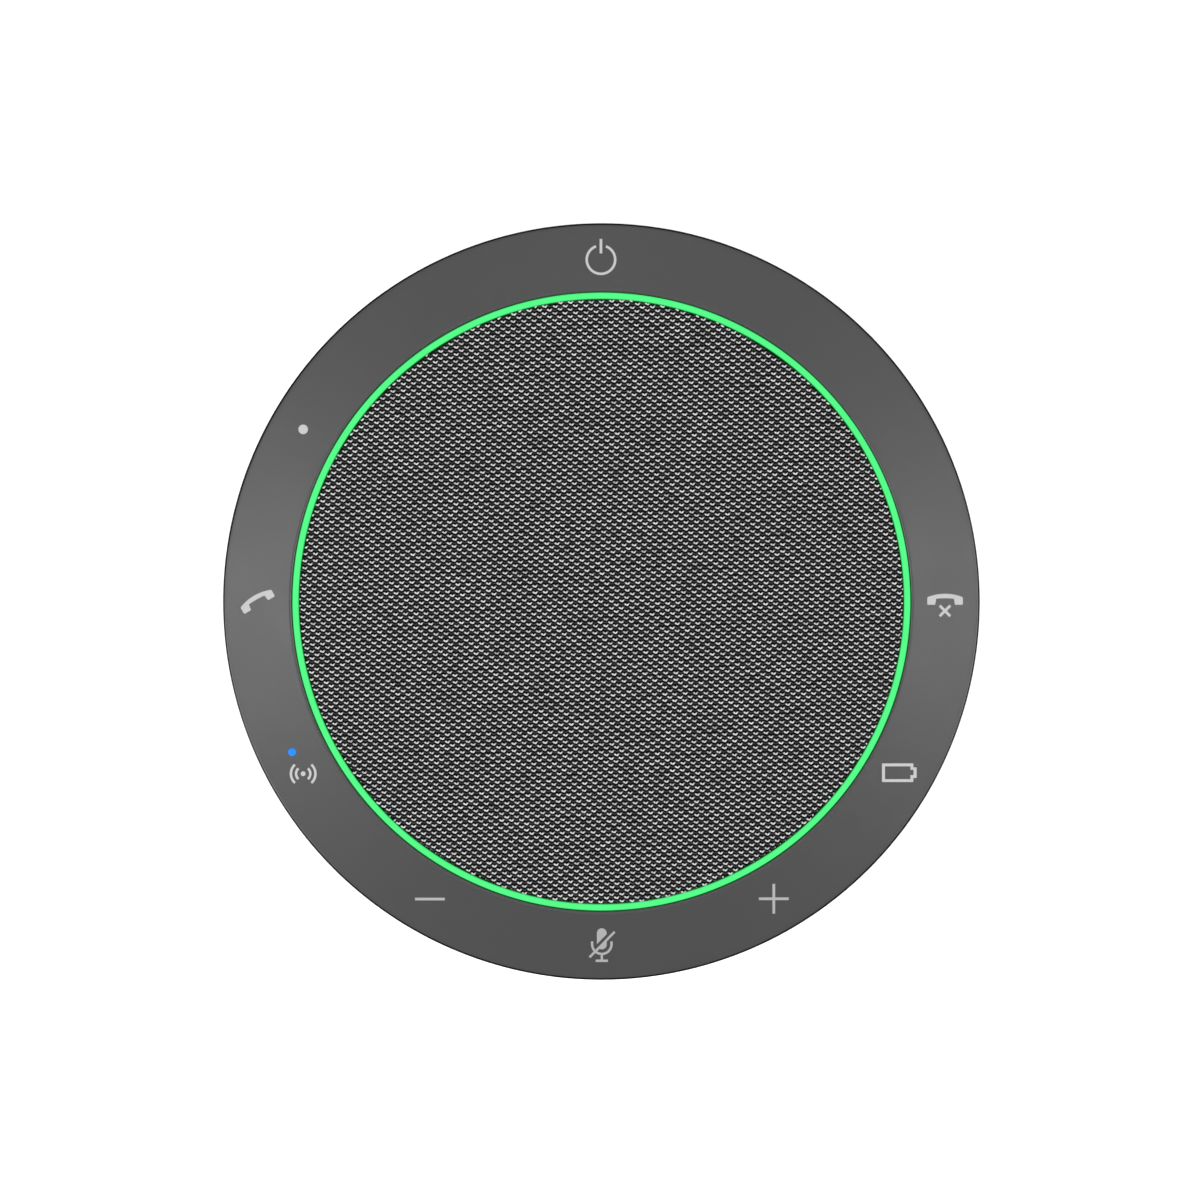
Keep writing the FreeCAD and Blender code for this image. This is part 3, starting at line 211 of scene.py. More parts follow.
# ---- Materials ---------------------------------------------------------------------------------
class Look:
    """A node material being built around one Principled shader."""

    def __init__(self, name, color, roughness, **settings):
        self.material = bpy.data.materials.new(name)
        self.material.use_nodes = True
        self.nodes, self.links = self.material.node_tree.nodes, self.material.node_tree.links
        self.shader = self.nodes["Principled BSDF"]
        self.shader.inputs["Base Color"].default_value = (*color, 1)
        self.shader.inputs["Roughness"].default_value = roughness
        for key, value in settings.items():
            self.shader.inputs[key.replace("_", " ")].default_value = value

    def node(self, kind, settings=None, **inputs):
        made = self.nodes.new("ShaderNode" + kind)
        for key, value in (settings or {}).items():
            setattr(made, key, value)
        for key, value in inputs.items():
            socket = made.inputs[int(key[1:])] if key[0] == "_" else made.inputs[key.replace("_", " ")]
            if isinstance(value, bpy.types.NodeSocket):
                self.links.new(value, socket)
            else:
                socket.default_value = value
        return made

    def place(self):
        """Position in the row frame, in millimetres."""
        geometry_node = self.node("NewGeometry")
        scaled = self.node("VectorMath", {"operation": "SCALE"}, _0=geometry_node.outputs["Position"])
        scaled.inputs["Scale"].default_value = 1 / MM
        return scaled.outputs[0]

    def noise(self, period, detail=2.0, rough=0.5, vector=None):
        """Noise whose features are about a period in mm apart, from 0 to 1."""
        made = self.node("TexNoise", Vector=vector or self.place(), Scale=1 / period, Detail=detail)
        made.inputs["Roughness"].default_value = rough
        return made.outputs["Fac"]

    def ramp(self, value, *stops):
        """Colour or grey between stops given as (place, value or colour)."""
        made = self.node("ValToRGB", Fac=value)
        ramp = made.color_ramp
        while len(ramp.elements) < len(stops):
            ramp.elements.new(0.5)
        for element, (where, what) in zip(ramp.elements, stops):
            element.position = where
            element.color = (*what, 1) if isinstance(what, tuple) else (what, what, what, 1)
        return made.outputs["Color"]

    def math(self, operation, a, b=0.0):
        return self.node("Math", {"operation": operation}, _0=a, _1=b).outputs[0]

    def split(self, vector):
        return self.node("SeparateXYZ", _0=vector).outputs[:3]

    def tint(self, color, factor):
        """A colour multiplied by a grey factor socket."""
        return self.multiply((*color, 1), factor)

    def multiply(self, a, b):
        """Product of two colours, each a socket or four numbers."""
        kind = {"data_type": "RGBA", "blend_type": "MULTIPLY"}
        return self.node("Mix", kind, _0=1.0, _6=a, _7=b).outputs[2]

    def set(self, key, value):
        self.links.new(value, self.shader.inputs[key])
        return self

    def bump(self, height, strength, distance):
        """Distance in mm."""
        made = self.node("Bump", Height=height, Strength=strength, Distance=distance * MM)
        return self.set("Normal", made.outputs[0])


def moulded(name, color, roughness=0.5, grain=0.25, depth=0.02):
    """Moulded plastic or rubber: slight mottling, a fine spark texture and uneven gloss."""
    look = Look(name, color, roughness)
    mottle = look.noise(7.0, 3.0)
    look.set("Base Color", look.tint(color, look.ramp(mottle, (0.3, 0.92), (0.7, 1.0))))
    fine = look.noise(grain, 3.0, 0.6)
    look.set("Roughness", look.ramp(fine, (0.3, roughness - 0.06), (0.7, roughness + 0.06)))
    return look.bump(fine, 0.6, depth).material


def metal(name, color, roughness, lines=0.12):
    """Drawn or turned metal with fine lines along one way."""
    look = Look(name, color, roughness, Metallic=1.0)
    squeeze = look.node("VectorMath", {"operation": "MULTIPLY"}, _0=look.place(), _1=(1.0, 0.06, 1.0))
    streak = look.noise(lines, 2.0, 0.6, squeeze.outputs[0])
    look.set("Roughness", look.ramp(streak, (0.3, roughness * 0.7), (0.7, roughness * 1.4)))
    look.set("Base Color", look.tint(color, look.ramp(streak, (0.25, 0.82), (0.7, 1.0))))
    return look.bump(streak, 0.3, 0.01).material


def cellular(name, color, period, roughness=0.9):
    """Open-cell foam or pressed fibre."""
    look = Look(name, color, roughness)
    cells = look.node("TexVoronoi", Vector=look.place(), Scale=1 / period).outputs["Distance"]
    look.set("Base Color", look.tint(color, look.ramp(cells, (0.1, 0.35), (0.8, 1.0))))
    return look.bump(cells, 1.0, 0.2).material


def striped(name, dark, light, period, roughness, axis, **settings):
    """Winding, ribbon conductors or woven cloth: parallel stripes with a rounded relief."""
    look = Look(name, light, roughness, **settings)
    wave = look.node("TexWave", {"bands_direction": axis, "wave_profile": "SIN"}, Vector=look.place())
    wave.inputs["Scale"].default_value = 0.314 / period
    wave.inputs["Distortion"].default_value = 0.3
    look.set("Base Color", look.ramp(wave.outputs["Fac"], (0.2, dark), (0.7, light)))
    return look.bump(wave.outputs["Fac"], 0.7, 0.05).material


def circuit_board():
    """Solder mask with tracks and pads showing through."""
    look = Look("circuit_board", (0.01, 0.12, 0.05), 0.35)
    tracks = look.node("TexBrick", {"offset": 0.37}, Vector=look.place(), Scale=0.45)
    tracks.inputs["Mortar Size"].default_value = 0.06
    tracks.inputs["Color1"].default_value = (0.008, 0.10, 0.045, 1)
    tracks.inputs["Color2"].default_value = (0.012, 0.14, 0.06, 1)
    tracks.inputs["Mortar"].default_value = (0.03, 0.24, 0.11, 1)
    look.set("Base Color", tracks.outputs["Color"])
    return look.bump(tracks.outputs["Fac"], 0.4, 0.04).material


def soft_touch():
    """Satin elastomer skin: grey with grain and faint marks, a painted shade that blackens the rim, darker
    below.
    """
    look = Look("soft_touch_skin", SKIN_COLOR, 0.25, Specular_IOR_Level=0.4)
    x, y, z = look.split(look.place())
    reach = look.math("SQRT", look.math("ADD", look.math("POWER", x, 2.0), look.math("POWER", y, 2.0)))
    turn = look.math("DIVIDE", look.math("SUBTRACT", reach, BODY_R - RING_EDGE_R), RING_EDGE_R)
    down = look.math("DIVIDE", look.math("SUBTRACT", RIM_END_Z, z), RING_EDGE_R)
    broad = look.ramp(look.noise(22.0, 3.0), (0.3, 0.955), (0.7, 1.0))
    # Painted shade: over the rounded rim the skin's colour and its reflection fall almost to black.
    painted_rim_shade = look.ramp(turn, (0.3, 1.0), (0.5, 0.03))
    below_rim = look.ramp(down, (0.0, 0.0), (1.0, 0.6))
    dark = look.math("MAXIMUM", painted_rim_shade, below_rim)
    look.set("Base Color", look.tint(SKIN_COLOR, look.math("MULTIPLY", broad, dark)))
    look.set("Specular IOR Level", look.math("MULTIPLY", dark, 0.4))
    grain = look.noise(0.16, 2.0, 0.6)
    marks = look.math("ADD", look.math("MULTIPLY", look.noise(9.0, 5.0, 0.65), 0.05), 0.20)
    look.set("Roughness", look.math("ADD", marks, look.math("MULTIPLY", grain, 0.05)))
    return look.bump(grain, 0.35, 0.012).material


def yarn():
    """Yarn whose colour carries painted shade: light where a loop stands proud, near black where it dives,
    with fibre streaks.
    """
    look = Look("knit_yarn", (0.5, 0.5, 0.5), 0.9, Sheen_Weight=0.04, Specular_IOR_Level=0.06)
    # Painted shade from the yarn's depth: near black where it dives between loops, light where it stands
    # proud.
    painted_shade_and_tone = look.node("Attribute", {"attribute_name": "painted_shade_and_tone"}).outputs["Fac"]
    shade = look.ramp(painted_shade_and_tone, *YARN_STOPS)
    stretched = look.node("VectorMath", {"operation": "MULTIPLY"}, _0=look.place(), _1=(0.45, 1.3, 1.0))
    fibre = look.noise(0.07, 2.0, 0.7, stretched.outputs[0])
    patch = look.noise(2.6, 2.0)
    streaks = look.ramp(fibre, (0.3, 0.6), (0.68, 1.15))
    mottled = look.math("MULTIPLY", streaks, look.ramp(patch, (0.3, 0.9), (0.7, 1.06)))
    look.set("Base Color", look.multiply(shade, mottled))
    return look.bump(fibre, 0.5, 0.03).material


def backing():
    """Black acoustic scrim under the knit."""
    look = Look("knit_backing", (0.01, 0.01, 0.01), 0.95, Specular_IOR_Level=0.05)
    weave = look.noise(0.3, 2.0, 0.6)
    look.set("Base Color", look.ramp(weave, (0.3, 0.001), (0.75, 0.006)))
    return look.bump(weave, 0.8, 0.05).material


def glow(name, color, strength, rim=0.55, grain=6.0):
    """Translucent moulding lit from inside: slightly uneven, and dimmer where it turns away."""
    body_color = tuple(0.2 * c for c in color)
    look = Look(name, body_color, 0.55, Emission_Color=(*color, 1), Specular_IOR_Level=0.15)
    facing = look.node("LayerWeight", Blend=0.5).outputs["Facing"]
    uneven = look.ramp(look.noise(grain, 1.0), (0.3, 0.92), (0.7, 1.0))
    level = look.math("MULTIPLY", look.ramp(facing, (0.0, 1.0), (1.0, rim)), uneven)
    look.set("Emission Strength", look.math("MULTIPLY", level, strength))
    return look.material


def icon_print():
    """Light-grey ink, a little worn at fine scale, with painted shade that dims it on the keys at the front.
    """
    look = Look("icon_print", ICON_COLOR, 0.5)
    speck = look.noise(0.12, 2.0, 0.6)
    # Painted shade: the ink grows darker towards the front of the ring, down to 0.7 on the front keys.
    front = look.math("DIVIDE", look.split(look.place())[1], -BODY_R)
    worn = look.ramp(speck, (0.25, 0.86), (0.6, 1.0))
    shade = look.math("MULTIPLY", worn, look.ramp(front, (0.5, 1.0), (0.85, 0.7)))
    look.set("Base Color", look.tint(ICON_COLOR, shade))
    return look.bump(speck, 0.2, 0.006).material


SKIN_COLOR = (0.019, 0.019, 0.0191)
RIM_END_Z = RING_OUTER_Z - RING_EDGE_R
ICON_COLOR = (0.258, 0.258, 0.258)
YARN_STOPS = ((0.0, 0.003), (0.30, 0.027), (0.62, 0.126), (1.0, 0.445))

SLOT_LOOKS = {
    "soft_touch": soft_touch(),
    "bezel_plastic": moulded("bezel_plastic", (0.02, 0.02, 0.021), 0.5),
    "key_plastic": moulded("key_plastic", (0.03, 0.03, 0.031), 0.5),
    "clear_plastic": glow("pairing_glow", (0.0, 0.2, 0.95), 1.1, 0.6, 1.0),
    "light_guide": glow("light_ring_glow", (0.053, 0.69, 0.165), 1.0),
    "knit_fabric": backing(),
    "black_plastic": moulded("black_plastic", (0.012, 0.012, 0.013), 0.55),
    "housing_plastic": moulded("housing_plastic", (0.035, 0.035, 0.037), 0.55, 0.3, 0.03),
    "black_rubber": moulded("black_rubber", (0.012, 0.012, 0.012), 0.75, 0.4, 0.03),
    "label_film": moulded("label_film", (0.045, 0.045, 0.047), 0.42, 0.6, 0.005),
    "cable_jacket": moulded("cable_jacket", (0.022, 0.022, 0.023), 0.5, 0.5, 0.02),
    "bright_steel": metal("bright_steel", (0.66, 0.66, 0.67), 0.28),
    "stamped_steel": metal("stamped_steel", (0.16, 0.16, 0.17), 0.42, 0.4),
    "foam": cellular("foam", (0.04, 0.04, 0.04), 0.5),
    "magnet": cellular("magnet", (0.07, 0.07, 0.075), 0.25, 0.6),
    "copper_winding": striped(
        "copper_winding", (0.25, 0.06, 0.02), (0.72, 0.3, 0.12), 0.12, 0.35, "Z", Metallic=1.0
    ),
    "paper_cone": cellular("paper_cone", (0.03, 0.03, 0.032), 0.35),
    "spider_cloth": striped("spider_cloth", (0.18, 0.09, 0.02), (0.5, 0.3, 0.1), 0.35, 0.9, "DIAGONAL"),
    "circuit_board": circuit_board(),
    "switch_body": moulded("switch_body", (0.03, 0.03, 0.03), 0.5),
    "led": moulded("led_lens", (0.75, 0.75, 0.6), 0.25, 0.3, 0.005),
    "chip_plastic": moulded("chip_plastic", (0.015, 0.015, 0.017), 0.6, 0.12, 0.01),
    "ribbon": striped("ribbon", (0.28, 0.1, 0.01), (0.55, 0.25, 0.05), 0.5, 0.35, "DIAGONAL"),
    "lead_jacket": moulded("lead_jacket", (0.22, 0.012, 0.012), 0.45),
    "battery_wrap": metal("battery_wrap", (0.35, 0.37, 0.41), 0.45, 1.2),
    "screw_steel": metal("screw_steel", (0.12, 0.12, 0.13), 0.35),
}
YARN_LOOK = yarn()
ICON_LOOK = icon_print()

node_slots = {row["node"]: row["material_slot"] for row in frame["record"]["subparts"]}
for node_name, node in frame["nodes"].items():
    look = SLOT_LOOKS[node_slots[node_name]]
    if node.data.materials:
        for index in range(len(node.data.materials)):
            node.data.materials[index] = look
    else:
        node.data.materials.append(look)


# ---- Soft ring ---------------------------------------------------------------------------------
RING_SLOPE = (RING_OUTER_Z - RING_INNER_Z) / (BODY_R - RING_INNER_R)
PATCH_HALF = 10.5
PATCH_STEP, REST_STEP = 0.375, 0.5


def ring_top_z(radius):
    return RING_INNER_Z + RING_SLOPE * (radius - RING_INNER_R)


def offset_path(path, distance):
    """Each point of an open path moved sideways, to the left of its direction of travel."""
    path = np.asarray(path, float)
    ahead = heading(path)
    return path + np.stack([-ahead[:, 1], ahead[:, 0]], axis=1) * distance


def ring_profile():
    """Closed section of the skin: face from the inner lip over the rounded rim, then its underside."""
    lip_r = 0.15
    lip = arc_points((RING_INNER_R + lip_r, RING_INNER_Z - lip_r), lip_r, 180, 92, 5)
    rim_z = ring_top_z(BODY_R - RING_EDGE_R) - RING_EDGE_R
    tilt = math.degrees(math.atan(-RING_SLOPE))
    rim = arc_points((BODY_R - RING_EDGE_R, rim_z), RING_EDGE_R, 90 - tilt, 0, 11)
    flat = [(r, ring_top_z(r)) for r in np.linspace(RING_INNER_R + 0.6, BODY_R - RING_EDGE_R - 0.4, 23)]
    wall = [(BODY_R, z) for z in np.linspace(30.4, 24.4, 13)]
    foot = arc_points((BODY_R - 0.25, PART_LINE_Z + 0.25), 0.25, 0, -88, 4)
    outer = [(RING_INNER_R, RING_INNER_Z - SKIN_T)] + lip + flat + rim + wall + foot
    inner = offset_path(outer, -0.4)
    inner[:, 0] = np.maximum(inner[:, 0], RING_INNER_R)
    inner[:, 1] = np.maximum(inner[:, 1], PART_LINE_Z)
    return np.array(outer), inner


def ring_sector(start, end, step):
    """A closed stretch of the skin between two angles. Its ends have points of their own, to stay flat."""
    outer, inner = ring_profile()
    profile = np.concatenate([outer, inner[::-1]])
    sections = swept(profile, np.radians(np.linspace(start, end, round((end - start) / step) + 1)))
    points, faces = loft(sections, caps=False)
    count = len(profile)
    for cap, flip in ((sections[0], True), (sections[-1], False)):
        first = len(points)
        points = np.concatenate([points, cap])
        for k in range(len(outer) - 1):
            quad = [first + k, first + k + 1, first + count - 2 - k, first + count - 1 - k]
            faces.append(tuple(quad[::-1] if flip else quad))
    return points, faces


def add_port(points, faces, angle):
    """Swaps a square of the wall for a square-to-round surround with a blind microphone port."""
    points = np.asarray(points)
    turn = np.degrees(np.arctan2(points[:, 1], points[:, 0]))
    away = (turn - angle + 180) % 360 - 180
    reach = np.hypot(points[:, 0], points[:, 1])
    on_wall = (np.abs(reach - BODY_R) < 1e-6) & (np.abs(away) < 1.01) & (np.abs(points[:, 2] - PORT_Z) < 1.01)
    inside = {i for i in np.nonzero(on_wall)[0]}
    kept = [f for f in faces if not all(v in inside for v in f)]
    used = {v for f in kept for v in f}
    border = [i for i in inside if i in used]
    clock = {i: math.atan2(points[i, 2] - PORT_Z, math.radians(away[i]) * BODY_R) for i in border}
    border.sort(key=clock.get)
    rings = [(0.78, BODY_R), (PORT_R + 0.06, BODY_R), (PORT_R, BODY_R - 0.06), (PORT_R, BODY_R - 0.5)]
    made = []
    base = len(points)
    for radius, depth in rings:
        for i in border:
            side = math.radians(angle) + radius * math.cos(clock[i]) / BODY_R
            height = PORT_Z + radius * math.sin(clock[i])
            made.append((depth * math.cos(side), depth * math.sin(side), height))
    count = len(border)
    loops = [border] + [[base + k * count + i for i in range(count)] for k in range(len(rings))]
    port = [tuple(loops[-1])]
    for low, high in zip(loops, loops[1:]):
        for i in range(count):
            j = (i + 1) % count
            port.append((low[i], low[j], high[j], high[i]))
    return np.concatenate([points, np.array(made)]), port + kept


def key_weight(points, angle):
    """How far each point of the skin follows its key: 1 over the key cap, 0 at the patch's border."""
    points = np.asarray(points)
    turn = np.degrees(np.arctan2(points[:, 1], points[:, 0]))
    along = np.abs((turn - angle + 180) % 360 - 180) * math.pi / 180 * KEY_CENTRE_R
    out = np.abs(np.hypot(points[:, 0], points[:, 1]) - KEY_CENTRE_R)
    return smoothstep((5.3 - out) / 1.9) * smoothstep((10.4 - along) / 3.8)


def build_ring():
    """Nine patches of skin over the keys, and nine fixed stretches between them."""
    for key, angle in KEY_ANGLES.items():
        points, faces = ring_sector(angle - PATCH_HALF, angle + PATCH_HALF, PATCH_STEP)
        patch = stand_in("skin_over_" + key, "ring_skin", points, faces, None)
        follow(patch, key, key_weight(points, angle))
    stops = sorted(KEY_ANGLES.values()) + [360]
    for low, high in zip(stops, stops[1:]):
        points, faces = ring_sector(low + PATCH_HALF, high - PATCH_HALF, REST_STEP)
        for port in PORT_ANGLES:
            if low < port < high:
                points, faces = add_port(points, faces, port)
        stretch = f"skin_{low}_to_{high}"
        mesh_piece(stretch, points, faces, SLOT_LOOKS["soft_touch"], "housing", "soft_touch")


# ---- Icons -------------------------------------------------------------------------------------
ICON_CENTRE_R = 60.27
ICON_LIFT, ICON_T = 0.03, 0.12


def bar(x0, y0, x1, y1, width):
    """Outline of a straight stroke with square ends."""
    along = Vector((x1 - x0, y1 - y0)).normalized()
    side = Vector((-along.y, along.x)) * (width / 2)
    a, b = Vector((x0, y0)), Vector((x1, y1))
    return [tuple(p) for p in (a - side, b - side, b + side, a + side)]


def arc_bar(centre, radius, start, end, width, count=40):
    """Outline of a stroke along an arc, angles in degrees."""
    outer = arc_points(centre, radius + width / 2, start, end, count)
    return outer + arc_points(centre, radius - width / 2, end, start, count)


def disc(centre, radius):
    return arc_points(centre, radius, 0, 360 - 360 / 48, 48)


def rounded_box(x0, y0, x1, y1, corner):
    outline = arc_points((x1 - corner, y0 + corner), corner, -90, 0, 7)
    outline += arc_points((x1 - corner, y1 - corner), corner, 0, 90, 7)
    outline += arc_points((x0 + corner, y1 - corner), corner, 90, 180, 7)
    return outline + arc_points((x0 + corner, y0 + corner), corner, 180, 270, 7)


def turned(outline, angle, shift=(0, 0)):
    c, s = math.cos(math.radians(angle)), math.sin(math.radians(angle))
    return [(x * c - y * s + shift[0], x * s + y * c + shift[1]) for x, y in outline]


def handset():
    """Telephone handset lying face down: an arched bar with a square pad at each end."""
    bow, under_bow = 8.31, 16.26
    top = arc_points((0, 1.0 - bow), bow, 90 - 21.5, 90 + 21.5, 25)
    left_pad = [(-3.12, 0.20), (-3.12, -0.78), (-2.98, -0.92), (-1.82, -0.92), (-1.72, -0.83), (-1.56, 0.14)]
    under = arc_points((0, 0.215 - under_bow), under_bow, 90 + 5.5, 90 - 5.5, 11)
    right_pad = [(-x, y) for x, y in left_pad[::-1]]
    return top + left_pad + under[1:-1] + right_pad


def icon_shapes():
    """For each key: outlines to fill, outlines to cut away, in mm about the icon's centre."""
    stroke, thin, reach = 0.47, 0.41, 2.61
    power_gap, power_x, power_y = 20.5, -0.08, -0.43
    end_x, end_y = -0.14, -1.63
    less_x, less_y, more_x, more_y = 0.12, 0.13, 0.04, 0.18
    mic_x, mic_y = 0.07, 0.12
    mic_slash = bar(-2.08, -2.0, 2.31, 2.47, thin)
    slash_gap = bar(-1.19, -0.46, 2.0, 2.79, 0.5)
    return {
        "key_power": (
            [
                arc_bar((power_x, power_y), 2.49, 90 + power_gap, 450 - power_gap, 0.43, 72),
                bar(power_x, 0.67, power_x, 3.2, 0.46),
            ],
            [],
        ),
        "key_shortcut": ([disc((0, 0), 0.84)], []),
        "key_answer": ([turned(handset(), 30, (0, 0.17))], []),
        "key_hang_up": (
            [
                turned(handset(), 0, (-0.12, 0.36)),
                bar(end_x - 0.93, end_y - 0.93, end_x + 0.93, end_y + 0.93, stroke),
                bar(end_x - 0.93, end_y + 0.93, end_x + 0.93, end_y - 0.93, stroke),
            ],
            [],
        ),
        "key_pairing": (
            [
                disc((0, 0), 0.42),
                arc_bar((0, 0), 1.25, -48, 48, 0.42, 24),
                arc_bar((0, 0), 2.15, -48, 48, 0.42, 32),
                arc_bar((0, 0), 1.25, 132, 228, 0.42, 24),
                arc_bar((0, 0), 2.15, 132, 228, 0.42, 32),
            ],
            [],
        ),
        "key_volume_down": ([bar(less_x - reach, less_y, less_x + reach, less_y, stroke)], []),
        "key_volume_up": (
            [
                bar(more_x - reach, more_y, more_x + reach, more_y, stroke),
                bar(more_x, more_y - reach, more_x, more_y + reach, stroke),
            ],
            [],
        ),
        "key_mute": (
            [
                rounded_box(mic_x - 0.86, mic_y - 0.72, mic_x + 0.86, mic_y + 2.98, 0.85),
                arc_bar((mic_x, mic_y + 0.18), 1.70, 180, 360, thin, 32),
                bar(mic_x - 1.70, mic_y + 0.18, mic_x - 1.70, mic_y + 0.68, thin),
                bar(mic_x + 1.70, mic_y + 0.18, mic_x + 1.70, mic_y + 0.68, thin),
                bar(mic_x, mic_y - 1.45, mic_x, mic_y - 2.6, thin),
                bar(mic_x - 1.08, mic_y - 2.72, mic_x + 1.08, mic_y - 2.72, 0.43),
                mic_slash,
            ],
            [slash_gap],
        ),
        "key_battery": (
            [rounded_box(-3.09, -1.45, 2.40, 1.81, 0.12), rounded_box(2.2, -0.75, 2.98, 1.12, 0.12)],
            [rounded_box(-2.57, -0.95, 1.90, 1.30, 0.06), rounded_box(1.8, -0.23, 2.43, 0.69, 0.05)],
        ),
    }


def inlay(name, body, centre, fills, cuts):
    """A thin inlay just proud of the ring's face, from outlines to fill and outlines to cut away."""
    flat, loops = [], []
    for outline in list(fills) + list(cuts):
        loops.append(list(range(len(flat), len(flat) + len(outline))))
        flat += [Vector(p) for p in outline]
    points, _, tris, _, _, sources = geometry.delaunay_2d_cdt(flat, [], loops, 1, 1e-6)
    keep = [t for t, source in zip(tris, sources) if source and max(source) < len(fills)]
    top, count = [], len(points)
    for p in points:
        x, y = centre[0] + p.x, centre[1] + p.y
        top.append((x, y, ring_top_z(math.hypot(x, y)) + ICON_LIFT))
    low = [(x, y, z - ICON_T) for x, y, z in top]
    faces = [tuple(t) for t in keep] + [tuple(i + count for i in t[::-1]) for t in keep]
    edges = {(t[i], t[(i + 1) % 3]) for t in keep for i in range(3)}
    for a, b in sorted(edges):
        if (b, a) not in edges:
            faces.append((a, a + count, b + count, b))
    used = sorted({i for f in faces for i in f})
    index = {old: new for new, old in enumerate(used)}
    every = top + low
    corners = [every[i] for i in used]
    tiles = [tuple(index[i] for i in f) for f in faces]
    mesh_piece(name, corners, tiles, ICON_LOOK, body, "soft_touch", smooth=False)


def build_icons():
    for key, (fills, cuts) in icon_shapes().items():
        inlay("icon_" + key[4:], key, polar(ICON_CENTRE_R, KEY_ANGLES[key]), fills, cuts)


def build_lamp():
    """Small domed lens of the pairing light, set in the ring's face."""
    steps, rows = 48, 7
    middle = polar(STATUS_R, STATUS_ANGLE)
    base = ring_top_z(math.hypot(*middle))
    profile = [(STATUS_LENS_R, base - 0.5)]
    for t in np.linspace(0, 1.45, rows):
        profile.append((STATUS_LENS_R * math.cos(t), base + 0.01 + STATUS_CROWN * math.sin(t)))
    sections = np.zeros((len(profile), steps, 3))
    turn = np.arange(steps) * TAU / steps
    for k, (r, z) in enumerate(profile):
        sections[k, :, 0] = middle[0] + r * np.cos(turn)
        sections[k, :, 1] = middle[1] + r * np.sin(turn)
        sections[k, :, 2] = z
    stand_in("pairing_lamp", "pairing_light_pipe", *loft(sections), "key_pairing")


# ---- Light ring --------------------------------------------------------------------------------
def build_light_ring():
    """Diffuser with rounded corners."""
    corner = 0.2
    profile = [(LIGHT_INNER_R, LIGHT_FOOT_Z)]
    profile += arc_points((LIGHT_INNER_R + corner, LIGHT_TOP_Z - corner), corner, 180, 90, 6)
    profile += arc_points((LIGHT_OUTER_R - corner, LIGHT_TOP_Z - corner), corner, 90, 0, 6)
    profile += [(LIGHT_OUTER_R, LIGHT_FOOT_Z)]
    stand_in("light_ring_diffuser", "light_ring", *revolve(profile, 900))


# ---- Knitted grille ----------------------------------------------------------------------------
WALE_PITCH, WALE_TILT = 1.798, 1.6
COURSE_PITCH, COURSE_LEAN = 1.223, 2.0
TUCK_START_R, TUCK_R = 52.42, 0.42
YARN_CUT_R = TUCK_START_R + TUCK_R - 0.02
# The last gain is painted light: the yarn is up to 35% lighter where the cover rolls down at its edge.
JITTER, SHADE_SPREAD, PAINTED_EDGE_LIGHT = 0.03, 0.06, 0.35
YARN_DEPTH = 0.22
YARN_SIDES = 6
YARN_BANDS = 6
# One repeat of the yarn: along the row, across it, height, radius, and painted shade, low where the yarn
# dives.
YARN_REPEAT = (
    (-0.50, 0.16, -0.16, 0.10, 0.28),
    (-0.38, 0.10, -0.03, 0.16, 0.70),
    (-0.24, 0.03, 0.02, 0.175, 1.00),
    (-0.09, -0.08, 0.00, 0.15, 0.72),
    (0.06, -0.10, 0.03, 0.165, 1.00),
    (0.20, 0.01, 0.02, 0.155, 0.92),
    (0.33, 0.15, -0.04, 0.13, 0.66),
    (0.46, 0.23, -0.18, 0.10, 0.30),
    (0.74, -0.03, -0.30, 0.115, 0.30),
    (1.04, -0.03, -0.30, 0.115, 0.30),
)


def dome_z(radius):
    """Height of the grille's face, rolled over at its edge where the cover is tucked in."""
    sphere = (FABRIC_R**2 + FABRIC_RISE**2) / (2 * FABRIC_RISE)
    over = np.clip(radius - TUCK_START_R, 0, TUCK_R)
    tuck = TUCK_R - np.sqrt(TUCK_R**2 - over**2)
    return BODY_H - sphere + np.sqrt(sphere**2 - radius**2) - tuck


def yarn_rows():
    """Centre line, radius and painted shade, with a random change for each loop, of every course of the knit.
    """
    draw = np.random.default_rng(11)
    tilt, lean = math.radians(WALE_TILT), math.radians(COURSE_LEAN)
    wale = np.array([math.cos(tilt), math.sin(tilt)]) * WALE_PITCH
    course = np.array([math.sin(lean), math.cos(lean)]) * COURSE_PITCH
    repeat = np.array(YARN_REPEAT)
    across = np.array([-math.sin(tilt), math.cos(tilt)])
    limit = int(2 * FABRIC_R / COURSE_PITCH) + 3
    span = int(FABRIC_R / WALE_PITCH) + 3
    for row in range(-limit, limit + 1):
        origin = course * (row / 2) + wale * (0.5 if row % 2 else 0.0)
        slide = round(origin @ wale / WALE_PITCH**2)
        origin = origin - wale * slide
        loops = np.arange(-span, span + 1)
        jitter = draw.normal(0, JITTER, (len(loops), 2))
        shade = draw.normal(1, SHADE_SPREAD, len(loops))
        base = origin + loops[:, None, None] * wale
        local = repeat[:, 0, None] * wale / WALE_PITCH + repeat[:, 1, None] * across
        plan = (base + local + jitter[:, None, :]).reshape(-1, 2)
        radius = np.tile(repeat[:, 3], len(loops))
        # Painted shade of the repeat, times a random factor for each loop.
        painted_shade_and_tone = (repeat[:, 4] * shade[:, None]).ravel()
        reach = np.hypot(plan[:, 0], plan[:, 1])
        inside = np.nonzero(reach < YARN_CUT_R)[0]
        if len(inside) < 4:
            continue
        keep = slice(inside[0], inside[-1] + 1)
        height = dome_z(reach[keep]) - YARN_DEPTH + np.tile(repeat[:, 2], len(loops))[keep]
        # Painted light: the yarn grows lighter over the rolled edge, where its shading would turn dark.
        edge = smoothstep((reach[keep] - TUCK_START_R) / TUCK_R)
        yield np.column_stack([plan[keep], height]), radius[keep], painted_shade_and_tone[keep] * (1 + PAINTED_EDGE_LIGHT * edge)


